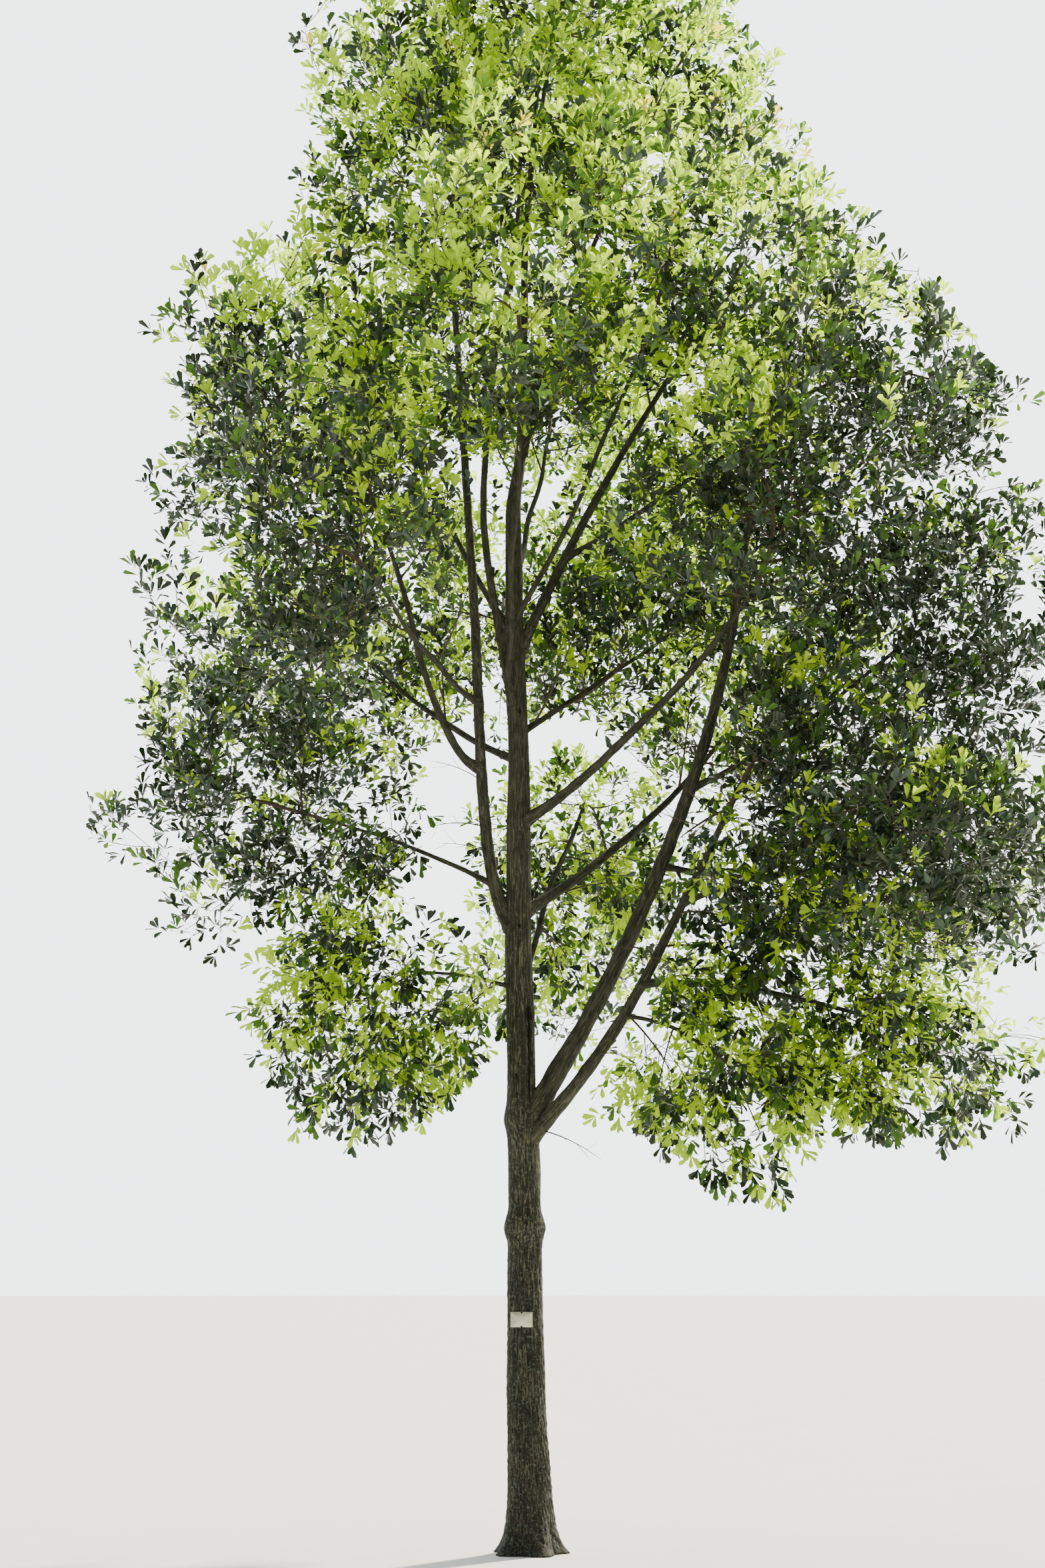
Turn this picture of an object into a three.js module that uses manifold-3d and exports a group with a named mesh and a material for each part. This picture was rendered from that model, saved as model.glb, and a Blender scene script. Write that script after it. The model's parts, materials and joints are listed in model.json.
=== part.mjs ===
// A water oak: a straight tapering trunk with a root flare, rising boughs, and open masses of foliage.
// Millimetres, +Z up. The origin is the middle of the flat ground cut under the trunk.
// +X is the side on which the crown reaches furthest, and +Y is the back of the tree.

import * as THREE from 'three';
import { mergeVertices } from 'three/addons/utils/BufferGeometryUtils.js';
import Module from 'manifold-3d';

const wasm = await Module();
wasm.setup();

// Trunk: height, diameter, and the drift of its middle along X and Y
const TRUNK_STATIONS = [
  [0, 262, 0, 0],
  [1400, 223, -28, 0],
  [2300, 206, -32, 10],
  [2850, 186, -51, 10],
  [3900, 177, -73, 0],
  [4900, 143, -70, -15],
  [6150, 121, -101, 0],
  [6760, 108, -109, 20],
  [7300, 68, -54, 30],
  [8600, 50, -30, 20],
  [10100, 28, 60, 0],
];
const TRUNK_HEIGHT = TRUNK_STATIONS.at(-1)[0];
const TRUNK_SIDES = 16;
const TRUNK_STEPS = 24;
const TRUNK_FOOT_STEP = 0.25;

// Root flare: a low steep skirt with lobes, and a longer gentle swelling above it
const SKIRT = { swell: 64, height: 85 };
const BUTTRESS = { swell: 24, height: 560 };
const LOBES = { count: 5, depth: 0.15, turn: 0.35, height: 190 };

// Healed rings where old whorls and the first fork swell the trunk: height, swell, half height
const COLLARS = [
  [1970, 30, 72],
  [2650, 22, 85],
];

// Boughs
const BOUGH_SIDES = 6;
const BOUGH_STEP = 420;
const BOUGH_STEPS_LEAST = 4;
const BRANCH_COLLAR = { swell: 0.28, length: 90 };
const CROOK = { size: 16, waves: 1.6 };
const CLEARANCE = 0.3;

// Each bough: what it grows from and how high (trunk) or how far along (bough), where its tip is,
// how far it bows from the straight line, and where given, how far the bow leans to its foot,
// its diameters at foot and tip, and the mass it carries: centre, half width and half height
const BOUGHS = [
  { name: 'right_leader', from: 'trunk', at: 2600, tip: [1420, -260, 6250], bend: [280, 0, 120], lean: 0.15,
    girth: [124, 54], centre: [1520, -380, 6980], across: 950, up: 960 },
  { name: 'right_low', from: 'trunk', at: 2500, tip: [1230, -620, 4480], bend: [100, -30, -50], lean: 0.6,
    girth: [94, 42], centre: [1480, -900, 4950], across: 900, up: 760 },
  { name: 'right_long', from: 'right_low', at: 0.52, tip: [2080, -640, 3240], bend: [-40, 0, 70],
    girth: [46, 26], centre: [2360, -760, 3020], across: 800, up: 500 },
  { name: 'right_hanging', from: 'right_low', at: 0.42, tip: [1160, -960, 2940], bend: [0, 0, 60],
    girth: [30, 18], centre: [1260, -1100, 2740], across: 580, up: 640 },
  { name: 'right_spread', from: 'right_low', at: 0.76, tip: [1760, -1080, 4080], bend: [0, 0, 40],
    girth: [36, 22], centre: [2430, -1420, 4160], across: 900, up: 740 },
  { name: 'right_mid', from: 'right_leader', at: 0.43, tip: [1800, 380, 4330], bend: [0, 0, -40],
    girth: [42, 24], centre: [2600, 520, 4420], across: 960, up: 900 },
  { name: 'right_high', from: 'right_leader', at: 0.57, tip: [2120, -120, 5480], bend: [0, 0, -50],
    girth: [46, 26], centre: [2720, -220, 5960], across: 940, up: 1000 },
  { name: 'right_back', from: 'trunk', at: 3980, tip: [1260, 860, 5250], bend: [20, 0, -80],
    girth: [74, 36], centre: [1640, 1480, 5900], across: 1120, up: 1100 },
  { name: 'right_front', from: 'trunk', at: 4580, tip: [1370, -940, 5840], bend: [40, 60, -80],
    girth: [70, 34], centre: [1420, -1680, 6420], across: 1050, up: 1100 },
  { name: 'back_low', from: 'trunk', at: 3480, tip: [400, 1120, 4960], bend: [0, 0, 80],
    girth: [44, 28], centre: [620, 1700, 4400], across: 1000, up: 1120 },
  { name: 'back_inner', from: 'trunk', at: 5200, tip: [900, 620, 6020], bend: [-40, 0, -30], lean: 0.6,
    girth: [44, 26], centre: [1080, 1260, 7220], across: 1000, up: 1050 },
  { name: 'left_leader', from: 'trunk', at: 3840, tip: [-520, -120, 8260], bend: [-140, 0, -20], lean: 4,
    girth: [88, 40], centre: [-760, -180, 9120], across: 1000, up: 1100 },
  { name: 'left_high', from: 'left_leader', at: 0.26, tip: [-960, -520, 6480], bend: [-80, 0, -130], lean: 1.7,
    girth: [58, 30], centre: [-1500, -820, 7240], across: 960, up: 1000 },
  { name: 'left_low', from: 'trunk', at: 3490, tip: [-760, -340, 3560], bend: [0, 0, 30],
    girth: [30, 16], centre: [-1000, -520, 3290], across: 740, up: 700 },
  { name: 'left_mid', from: 'left_leader', at: 0.08, tip: [-1180, -60, 4560], bend: [0, 0, 30],
    girth: [36, 20], centre: [-1860, -60, 4760], across: 920, up: 910 },
  { name: 'left_front', from: 'left_leader', at: 0.36, tip: [-900, -1160, 5820], bend: [0, 0, -80],
    girth: [42, 26], centre: [-1180, -1880, 5860], across: 1050, up: 1100 },
  { name: 'left_back', from: 'trunk', at: 5020, tip: [-1120, 1060, 6000], bend: [0, 0, -80],
    girth: [52, 28], centre: [-1640, 1540, 6060], across: 1120, up: 1100 },
  { name: 'back_mid', from: 'trunk', at: 4980, tip: [-180, 1440, 6320], bend: [0, 0, -60],
    girth: [50, 28], centre: [-180, 2120, 6900], across: 1100, up: 1150 },
  { name: 'inner_leader', from: 'trunk', at: 5280, tip: [-170, -360, 8150], bend: [-170, -60, 0],
    girth: [62, 32], centre: [-60, -760, 9260], across: 1000, up: 1100 },
  { name: 'front_crossing', from: 'inner_leader', at: 0.19, tip: [700, -760, 7520], bend: [40, -60, -60], lean: 0.8,
    girth: [42, 26], centre: [900, -1400, 8060], across: 1050, up: 1100 },
  { name: 'front_mid', from: 'inner_leader', at: 0.1, tip: [-60, -1500, 6900], bend: [0, 0, -60],
    girth: [42, 26], centre: [-80, -2240, 7260], across: 1050, up: 1100 },
  { name: 'upper_right', from: 'trunk', at: 5720, tip: [1020, 180, 7900], bend: [-50, 0, 0],
    girth: [74, 36], centre: [1400, 200, 8760], across: 1020, up: 1100 },
  { name: 'upper_side', from: 'upper_right', at: 0.34, tip: [1760, -320, 7420], bend: [0, 0, -40],
    girth: [40, 24], centre: [2480, -420, 7640], across: 980, up: 980 },
  { name: 'upper_back', from: 'trunk', at: 6300, tip: [140, 1180, 7760], bend: [0, 0, -60],
    girth: [46, 28], centre: [160, 1720, 8440], across: 1100, up: 1200 },
  { name: 'upper_left', from: 'trunk', at: 5900, tip: [-880, 620, 7620], bend: [-40, 0, -40],
    girth: [46, 26], centre: [-1380, 880, 8140], across: 1020, up: 1100 },
  { name: 'top_right', from: 'trunk', at: 7000, tip: [640, 60, 9240], bend: [-60, 0, 0],
    girth: [50, 30], centre: [1060, 60, 10180], across: 950, up: 1000 },
];

// Masses that grow straight from the trunk, near its top, each with its stem's diameter there
const TOP_MASSES = [
  { name: 'top_left', from: 'trunk', at: 8750, girth: 34,
    centre: [-660, 140, 10420], across: 950, up: 1050 },
  { name: 'top_back', from: 'trunk', at: 9000, girth: 32,
    centre: [260, 860, 10360], across: 1000, up: 1100 },
  { name: 'top_front', from: 'trunk', at: 9300, girth: 32,
    centre: [260, -820, 10560], across: 1000, up: 1100 },
  { name: 'crown_tip', from: 'trunk', at: TRUNK_HEIGHT, girth: 28,
    centre: [120, 20, 11540], across: 1050, up: 1120 },
];

// Foliage: each leaf solid stands for a spray, and takes the longest of its lengths that fits
const SPRAY = { lengths: [780, 700, 610, 520, 430], width: 0.55, shoulder: 0.58, crest: 0.5, thickness: 9 };
const SPRAY_ROOT = 45;
const SPRAY_ARCH = 0.07;
const SPRAY_TURNS = 4;
const SPRAY_PLACES = [
  { along: 0.86, spread: 0.2 },
  { along: 0.58, spread: 1.05 },
];
const FACE_SCATTER = 1.1;
const LIFT = 0.25;
const DROOP_BELOW = 3500;

// Twigs and stems
const TWIGS_A_MASS = 8;
const TWIG = { taper: 0.55, sides: 3, reach: 0.48, scatter: 0.1, step: 0.06, least: 0.2, inset: 60 };
const STEM = { sides: 4, steps: 3, places: 6, tip: 17 };
const TURN_COST = 0.5;

// Spaces between the solids, and how far leaf tips may pass the mass's ellipsoid
const MASS_GAP = 14;
const LIMB_GAP = 12;
const LEAF_GAP = 3;
const LEAF_REACH = 1.14;
const WELD = 0.05;

const GOLDEN_ANGLE = Math.PI * (3 - Math.sqrt(5));
const UP = new THREE.Vector3(0, 0, 1);
const ALONG_X = new THREE.Vector3(1, 0, 0);
const ALONG_Y = new THREE.Vector3(0, 1, 0);

const BARK = new THREE.Color('#5a5348');
const LEAF_GREENS = ['#7da22f', '#6c962b', '#8fb23a', '#5d8427', '#99b944'];

// A repeatable stream of numbers from 0 to 1
function randomStream(seed) {
  let state = seed >>> 0;
  return () => {
    state = (state + 0x6d2b79f5) >>> 0;
    let mixed = Math.imul(state ^ (state >>> 15), 1 | state);
    mixed ^= mixed + Math.imul(mixed ^ (mixed >>> 7), 61 | mixed);
    return ((mixed ^ (mixed >>> 14)) >>> 0) / 4294967296;
  };
}

// Value of one column of the trunk's stations at a height, eased between stations where asked
function stationValue(height, column, eased) {
  const above = TRUNK_STATIONS.findIndex((station) => station[0] >= height && station[0] > 0);
  const high = TRUNK_STATIONS[above < 0 ? TRUNK_STATIONS.length - 1 : above];
  const low = TRUNK_STATIONS[(above < 0 ? TRUNK_STATIONS.length - 1 : above) - 1];
  const share = Math.min(1, (height - low[0]) / (high[0] - low[0]));
  const weight = eased ? share * share * (3 - 2 * share) : share;
  return low[column] + (high[column] - low[column]) * weight;
}

// The trunk's middle line: straight up with a slow drift
class TrunkCurve extends THREE.Curve {
  getPoint(t, target = new THREE.Vector3()) {
    const height = t * TRUNK_HEIGHT;
    return target.set(stationValue(height, 2, true), stationValue(height, 3, true), height);
  }
}

// A limb's middle line: a bow between foot and tip, which may lean to the foot,
// with a slight crook that dies out at both ends
class LimbCurve extends THREE.Curve {
  constructor(foot, tip, bend, crook, lean = 0) {
    super();
    this.foot = foot;
    this.span = new THREE.Vector3().subVectors(tip, foot);
    this.bend = bend;
    this.lean = lean;
    this.side = new THREE.Vector3().crossVectors(this.span, UP).normalize().multiplyScalar(crook);
  }

  getPoint(t, target = new THREE.Vector3()) {
    const leaned = (t * (1 + this.lean)) / (1 + this.lean * t);
    const bow = 4 * leaned * (1 - leaned);
    const sway = 4 * t * (1 - t) * Math.sin(2 * Math.PI * CROOK.waves * t);
    return target.copy(this.foot).addScaledVector(this.span, t)
      .addScaledVector(this.bend, bow).addScaledVector(this.side, sway);
  }
}

// Closed solid of a three.js geometry, with its shared vertices merged
function solidOf(geometry) {
  geometry.deleteAttribute('normal');
  geometry.deleteAttribute('uv');
  const merged = mergeVertices(geometry, 1e-3);
  return new wasm.Manifold(new wasm.Mesh({
    numProp: 3,
    vertProperties: Float32Array.from(merged.attributes.position.array),
    triVerts: Uint32Array.from(merged.index.array),
  }));
}

// A cylinder bent along a curve, with its radius given for each place along it and turn round it,
// or a cone, where the limb runs out to a point
function bentTube(curve, radiusAt, sides, steps, tipRadius = 1) {
  const tube = new THREE.CylinderGeometry(tipRadius, 1, 1, sides, steps);
  const places = tube.attributes.position;
  const overall = new THREE.Vector3().subVectors(curve.getPoint(1), curve.getPoint(0)).normalize();
  const reference = Math.abs(overall.x) < 0.8 ? ALONG_X : ALONG_Y;
  for (let i = 0; i < places.count; i += 1) {
    const t = places.getY(i) + 0.5;
    const along = curve.getTangent(t);
    const across = reference.clone().addScaledVector(along, -reference.dot(along)).normalize();
    const beside = new THREE.Vector3().crossVectors(across, along);
    const radius = radiusAt(t, Math.atan2(places.getZ(i), places.getX(i)));
    const point = curve.getPoint(t)
      .addScaledVector(across, places.getX(i) * radius)
      .addScaledVector(beside, places.getZ(i) * radius);
    places.setXYZ(i, point.x, point.y, point.z);
  }
  return solidOf(tube);
}

// Trunk radius: taper, root flare with its lobes, and healed rings
function trunkRadius(t, turn) {
  const height = t * TRUNK_HEIGHT;
  const flare = SKIRT.swell * Math.exp(-height / SKIRT.height)
    + BUTTRESS.swell * Math.exp(-height / BUTTRESS.height);
  const lobes = 1 + LOBES.depth * Math.exp(-height / LOBES.height)
    * Math.cos(LOBES.count * turn + LOBES.turn);
  const rings = COLLARS.reduce(
    (sum, [middle, swell, half]) => sum + swell * Math.exp(-(((height - middle) / half) ** 2)),
    0,
  );
  return (stationValue(height, 1, false) / 2 + flare) * lobes + rings;
}

// Trunk rings stand closer together near the ground, where the flare curves
function trunkSolid(growth) {
  const trunkCurve = new TrunkCurve();
  const eased = (t) => t * (TRUNK_FOOT_STEP + (1 - TRUNK_FOOT_STEP) * t);
  const middle = {
    getPoint: (t) => trunkCurve.getPoint(eased(t)),
    getTangent: () => UP.clone(),
  };
  return bentTube(middle, (t, turn) => trunkRadius(eased(t), turn) + growth, TRUNK_SIDES, TRUNK_STEPS);
}

// Bough radius: taper, and a collar where it leaves what carries it
function boughRadius(bough, t) {
  const [foot, tip] = bough.girth;
  const swell = 1 + BRANCH_COLLAR.swell * Math.exp((-t * bough.length) / BRANCH_COLLAR.length);
  return ((foot + (tip - foot) * t) / 2) * swell;
}

function boughSolid(bough, growth) {
  const steps = Math.max(BOUGH_STEPS_LEAST, Math.round(bough.length / BOUGH_STEP));
  return bentTube(bough.curve, (t) => boughRadius(bough, t) + growth, BOUGH_SIDES, steps);
}

// The largest closed body of a solid: loose scraps are dropped, and sealed hollows are filled
function largestBody(solid) {
  return solid.decompose().reduce((best, body) => (body.volume() > best.volume() ? body : best));
}

// Where a limb starts: on the middle line of what carries it
function footOf(row, limbs) {
  if (row.from === 'trunk') return new TrunkCurve().getPoint(row.at / TRUNK_HEIGHT);
  return limbs.get(row.from).curve.getPoint(row.at);
}

// The space of one mass: an ellipsoid, cut off by a plane towards each neighbour
function spaceOf(mass, masses) {
  const planes = masses.filter((other) => other !== mass).map((other) => {
    const normal = new THREE.Vector3().subVectors(other.middle, mass.middle);
    const share = mass.across / (mass.across + other.across);
    const edge = mass.middle.clone().addScaledVector(normal, share);
    normal.normalize();
    return { normal, offset: normal.dot(edge) - MASS_GAP };
  });
  const reach = (point) => Math.hypot(
    (point.x - mass.middle.x) / mass.across,
    (point.y - mass.middle.y) / mass.across,
    (point.z - mass.middle.z) / mass.up,
  );
  return {
    holds: (point, limit, margin) => reach(point) <= limit
      && planes.every(({ normal, offset }) => normal.dot(point) < offset - margin),
  };
}

// Whether a solid keeps a gap to each of some others
function clearOf(solids, solid, gap) {
  return solids.every((other) => other.minGap(solid, gap) >= gap);
}

// One leaf solid: a stretched octahedron, widest past its middle and arched along its length,
// with its root sunk back along the twig that it stands on
function leafCorners(place, along, face, length) {
  const across = new THREE.Vector3().crossVectors(face, along).normalize();
  const thick = SPRAY.thickness / 2;
  const half = (SPRAY.width * length) / 2;
  const rise = SPRAY_ARCH * length;
  const at = (forward, sideways, out) => place.point.clone().addScaledVector(along, forward)
    .addScaledVector(across, sideways).addScaledVector(face, out);
  return {
    root: place.point.clone().addScaledVector(place.heading, -SPRAY_ROOT),
    tip: at(length, 0, -rise),
    left: at(length * SPRAY.shoulder, half, 0),
    right: at(length * SPRAY.shoulder, -half, 0),
    top: at(length * SPRAY.crest, 0, rise / 2 + thick),
    under: at(length * SPRAY.crest, 0, rise / 2 - thick),
  };
}

function leafSolid(corners) {
  const leaf = new THREE.OctahedronGeometry(1, 0);
  const places = leaf.attributes.position;
  for (let i = 0; i < places.count; i += 1) {
    const [x, y, z] = [places.getX(i), places.getY(i), places.getZ(i)];
    let corner = x > 0.5 ? corners.tip : corners.root;
    if (y > 0.5) corner = corners.left;
    if (y < -0.5) corner = corners.right;
    if (z > 0.5) corner = corners.top;
    if (z < -0.5) corner = corners.under;
    places.setXYZ(i, corner.x, corner.y, corner.z);
  }
  return solidOf(leaf);
}

// Twig tips: spread evenly over the mass, each drawn in towards its middle until its space holds it
function twigTips(mass, space, random) {
  const turn = random() * 2 * Math.PI;
  const tips = [];
  for (let i = 0; i < TWIGS_A_MASS; i += 1) {
    const height = 1 - (2 * (i + 0.5)) / TWIGS_A_MASS;
    const ring = Math.sqrt(1 - height * height);
    const angle = turn + i * GOLDEN_ANGLE;
    const widest = TWIG.reach + TWIG.scatter * random();
    for (let share = widest; share > TWIG.least; share -= TWIG.step) {
      const tip = new THREE.Vector3(
        mass.middle.x + ring * Math.cos(angle) * mass.across * share,
        mass.middle.y + ring * Math.sin(angle) * mass.across * share,
        mass.middle.z + height * mass.up * share,
      );
      if (space.holds(tip, 1, TWIG.inset)) {
        tips.push(tip);
        break;
      }
    }
  }
  return tips.sort((a, b) => a.distanceTo(mass.start) - b.distanceTo(mass.start));
}

// The place on the twigs so far that is nearest to a new tip and leads towards it
function nearestPlace(places, tip) {
  let best = null;
  let least = Infinity;
  for (const place of places) {
    const way = new THREE.Vector3().subVectors(tip, place.point);
    const distance = way.length();
    const turning = 1 - way.dot(place.heading) / Math.max(distance, 1);
    const cost = distance * (1 + TURN_COST * turning);
    if (distance > TWIG.inset && cost < least) {
      best = place;
      least = cost;
    }
  }
  return best;
}

// A twig, which runs straight from its place to its tip, or a stem, which bows to set out along the
// heading there: follow is 0 for the one and 1 for the other
function twigFrom(place, tip, footRadius, tipRadius, follow) {
  const span = new THREE.Vector3().subVectors(tip, place.point);
  const bend = place.heading.clone().multiplyScalar(span.length()).sub(span).multiplyScalar(follow / 4);
  return {
    curve: new LimbCurve(place.point, tip, bend, 0),
    radiusAt: (t) => footRadius + (tipRadius - footRadius) * t,
  };
}

// Evenly spaced places along a twig or stem, from past its foot to its tip
function placesAlong(twig, count) {
  return Array.from({ length: count }, (_, i) => {
    const t = (i + 1) / count;
    return { point: twig.curve.getPoint(t), heading: twig.curve.getTangent(t), radius: twig.radiusAt(t) };
  });
}

// The turned directions of one leaf: which way it points, and which way its face looks
function leafTurn(place, roll, lift, random) {
  const level = Math.abs(place.heading.z) > 0.9 ? ALONG_X : UP;
  const out = new THREE.Vector3().crossVectors(place.heading, level).normalize()
    .applyAxisAngle(place.heading, roll);
  const along = place.heading.clone().addScaledVector(out, place.spread)
    .addScaledVector(UP, lift).normalize();
  const scatter = new THREE.Vector3(random() - 0.5, random() - 0.5, random() - 0.5);
  const face = UP.clone().addScaledVector(scatter, FACE_SCATTER);
  face.addScaledVector(along, -face.dot(along)).normalize();
  return { along, face };
}

// Leaves along one twig, each turned on from the last by the golden angle, and each kept to the
// mass's space and off the limbs, the other twigs and the leaves before it
function leavesOn(twig, space, mass, others, random) {
  const leaves = [];
  let roll = random() * 2 * Math.PI;
  const tries = SPRAY.lengths.length * SPRAY_TURNS;
  for (const { along: share, spread } of SPRAY_PLACES) {
    const place = { point: twig.curve.getPoint(share), heading: twig.curve.getTangent(share), spread };
    for (let attempt = 0; attempt < tries; attempt += 1) {
      roll += GOLDEN_ANGLE;
      const { along, face } = leafTurn(place, roll, mass.lift, random);
      const corners = leafCorners(place, along, face, SPRAY.lengths[Math.floor(attempt / SPRAY_TURNS)]);
      const leaf = leafSolid(corners);
      const fits = Object.values(corners).every((corner) => space.holds(corner, LEAF_REACH, 0))
        && clearOf(mass.limbs, leaf, LIMB_GAP) && clearOf([...others, ...leaves], leaf, LEAF_GAP);
      if (fits) {
        leaves.push(leaf);
        break;
      }
    }
  }
  return leaves;
}

// One mass of foliage: a stem from its bough's tip to its middle, twigs that branch from the nearest
// place already grown, and leaves fused on along them
function massSolid(mass, masses) {
  const random = randomStream(mass.seed);
  const space = spaceOf(mass, masses);
  const places = placesAlong(mass.stem, STEM.places);
  const twigs = [];
  const wood = [mass.stemSolid];
  for (const tip of twigTips(mass, space, random)) {
    const place = nearestPlace(places, tip);
    const foot = place.radius * TWIG.taper;
    const twig = twigFrom(place, tip, foot, 0, 0);
    const route = placesAlong(twig, STEM.places);
    const solid = bentTube(twig.curve, () => foot, TWIG.sides, 1, 0);
    const inside = route.every((spot) => space.holds(spot.point, 1, STEM.tip));
    if (inside && clearOf(mass.limbs, solid, LIMB_GAP)) {
      places.splice(places.indexOf(place), 1);
      places.push(...route.slice(0, -1));
      twigs.push(twig);
      wood.push(solid);
    }
  }
  const leaves = [];
  twigs.forEach((twig, index) => {
    const others = [...wood.filter((_, i) => i !== index + 1), ...leaves];
    leaves.push(...leavesOn(twig, space, mass, others, random));
  });
  const fused = [...wood, ...leaves].reduce((sum, solid) => sum.add(solid));
  return largestBody(fused.simplify(WELD));
}

// A named mesh of a solid, in its own finish
function meshOf(name, solid, color, roughness) {
  const { vertProperties, triVerts } = solid.getMesh();
  const geometry = new THREE.BufferGeometry();
  geometry.setAttribute('position', new THREE.BufferAttribute(Float32Array.from(vertProperties), 3));
  geometry.setIndex(new THREE.BufferAttribute(Uint32Array.from(triVerts), 1));
  geometry.computeVertexNormals();
  const material = new THREE.MeshStandardMaterial({ color, roughness, metalness: 0 });
  const mesh = new THREE.Mesh(geometry, material);
  mesh.name = name;
  return mesh;
}

// Trunk
const tree = new THREE.Group();
tree.name = 'water_oak';
tree.add(meshOf('trunk', trunkSolid(0), BARK, 0.95));
const trunkCut = trunkSolid(CLEARANCE);

// Boughs, each cut clear of the trunk and of the boughs before it
const limbs = new Map();
const cutters = [];
BOUGHS.forEach((row, index) => {
  const foot = footOf(row, limbs);
  const tip = new THREE.Vector3(...row.tip);
  const crook = CROOK.size * (index % 2 ? 1 : -1);
  const bough = {
    girth: row.girth,
    length: foot.distanceTo(tip),
    curve: new LimbCurve(foot, tip, new THREE.Vector3(...row.bend), crook, row.lean),
  };
  limbs.set(row.name, bough);
  let solid = boughSolid(bough, 0).subtract(trunkCut);
  for (const cutter of cutters) solid = solid.subtract(cutter);
  tree.add(meshOf(`bough_${row.name}`, largestBody(solid), BARK, 0.92));
  cutters.push(boughSolid(bough, CLEARANCE));
});

// Masses: where each one starts, and which way its stem sets out
const masses = [...BOUGHS, ...TOP_MASSES].map((row, index) => {
  const bough = limbs.get(row.name);
  const middle = new THREE.Vector3(...row.centre);
  const foot = bough ? bough.curve.getPoint(1) : footOf(row, limbs);
  const onTip = Boolean(bough) || row.at === TRUNK_HEIGHT;
  const leaving = bough ? bough.curve.getTangent(1) : new THREE.Vector3().subVectors(middle, foot);
  const heading = row.at === TRUNK_HEIGHT ? UP.clone() : leaving.normalize();
  return {
    name: `leaves_${row.name}`,
    middle,
    heading,
    across: row.across,
    up: row.up,
    start: onTip ? foot.clone().addScaledVector(heading, CLEARANCE) : foot,
    startRadius: (bough ? row.girth[1] : row.girth) / 2,
    onTip,
    lift: middle.z < DROOP_BELOW ? -LIFT : LIFT,
    seed: 101 + 17 * index,
  };
});

masses.forEach((mass) => {
  const start = { point: mass.start, heading: mass.heading };
  mass.stem = twigFrom(start, mass.middle, mass.startRadius, STEM.tip, 1);
  const stemSolid = bentTube(mass.stem.curve, mass.stem.radiusAt, STEM.sides, STEM.steps);
  mass.stemSolid = mass.onTip ? stemSolid : largestBody(stemSolid.subtract(trunkCut));
});

masses.forEach((mass, index) => {
  const otherStems = masses.filter((other) => other !== mass).map((other) => other.stemSolid);
  mass.limbs = [trunkCut, ...cutters, ...otherStems];
  const solid = massSolid(mass, masses);
  tree.add(meshOf(mass.name, solid, new THREE.Color(LEAF_GREENS[index % LEAF_GREENS.length]), 0.6));
});

export default tree;
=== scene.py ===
"""A water oak in summer leaf, dressed round its CAD trunk, boughs and masses of foliage.

The trunk and boughs get a mesh with the bark's relief. In each mass a stem grows on from its
bough's tip, twigs branch from the nearest place already grown, and finer shoots turn on by the
golden angle and carry the leaves. Nothing grows in front of the boughs that show bare, or far past
the slope of the right shoulder. All lengths are in metres, +Z is up and -Y faces the camera.
"""

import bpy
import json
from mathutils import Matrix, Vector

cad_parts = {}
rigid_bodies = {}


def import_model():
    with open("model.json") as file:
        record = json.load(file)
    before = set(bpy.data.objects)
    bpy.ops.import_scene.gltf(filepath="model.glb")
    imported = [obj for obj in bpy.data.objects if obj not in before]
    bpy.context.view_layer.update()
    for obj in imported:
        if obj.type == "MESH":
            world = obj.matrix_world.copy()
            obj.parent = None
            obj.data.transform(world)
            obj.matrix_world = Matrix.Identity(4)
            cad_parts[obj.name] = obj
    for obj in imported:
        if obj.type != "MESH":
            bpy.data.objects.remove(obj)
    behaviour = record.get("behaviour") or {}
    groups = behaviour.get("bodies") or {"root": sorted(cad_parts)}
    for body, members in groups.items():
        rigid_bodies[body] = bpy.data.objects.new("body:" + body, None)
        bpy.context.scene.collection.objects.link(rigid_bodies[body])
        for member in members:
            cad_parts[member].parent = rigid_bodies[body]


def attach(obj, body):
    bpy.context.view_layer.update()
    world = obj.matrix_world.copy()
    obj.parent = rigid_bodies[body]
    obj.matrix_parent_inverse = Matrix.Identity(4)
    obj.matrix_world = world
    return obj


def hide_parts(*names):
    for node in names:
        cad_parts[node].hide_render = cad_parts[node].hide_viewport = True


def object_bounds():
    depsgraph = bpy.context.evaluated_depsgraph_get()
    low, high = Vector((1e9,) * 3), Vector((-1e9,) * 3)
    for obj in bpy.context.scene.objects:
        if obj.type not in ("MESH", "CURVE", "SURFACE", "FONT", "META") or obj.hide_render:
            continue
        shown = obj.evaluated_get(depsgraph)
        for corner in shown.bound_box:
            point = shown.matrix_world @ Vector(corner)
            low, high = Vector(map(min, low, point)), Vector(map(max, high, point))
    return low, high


bl_info = {
    "name": "Water oak",
    "version": (1, 0, 0),
    "blender": (4, 5, 0),
    "location": "View3D > Sidebar > Water oak",
    "description": "Grows a water oak's bark, twigs and leaves on its trunk and boughs",
    "category": "Add Mesh",
}

import copy
import functools
import json
import math
from collections import namedtuple

import bpy
import numpy as np
from bpy.props import FloatProperty, FloatVectorProperty, IntProperty, PointerProperty
from mathutils import Vector

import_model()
CAD_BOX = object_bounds()

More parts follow.
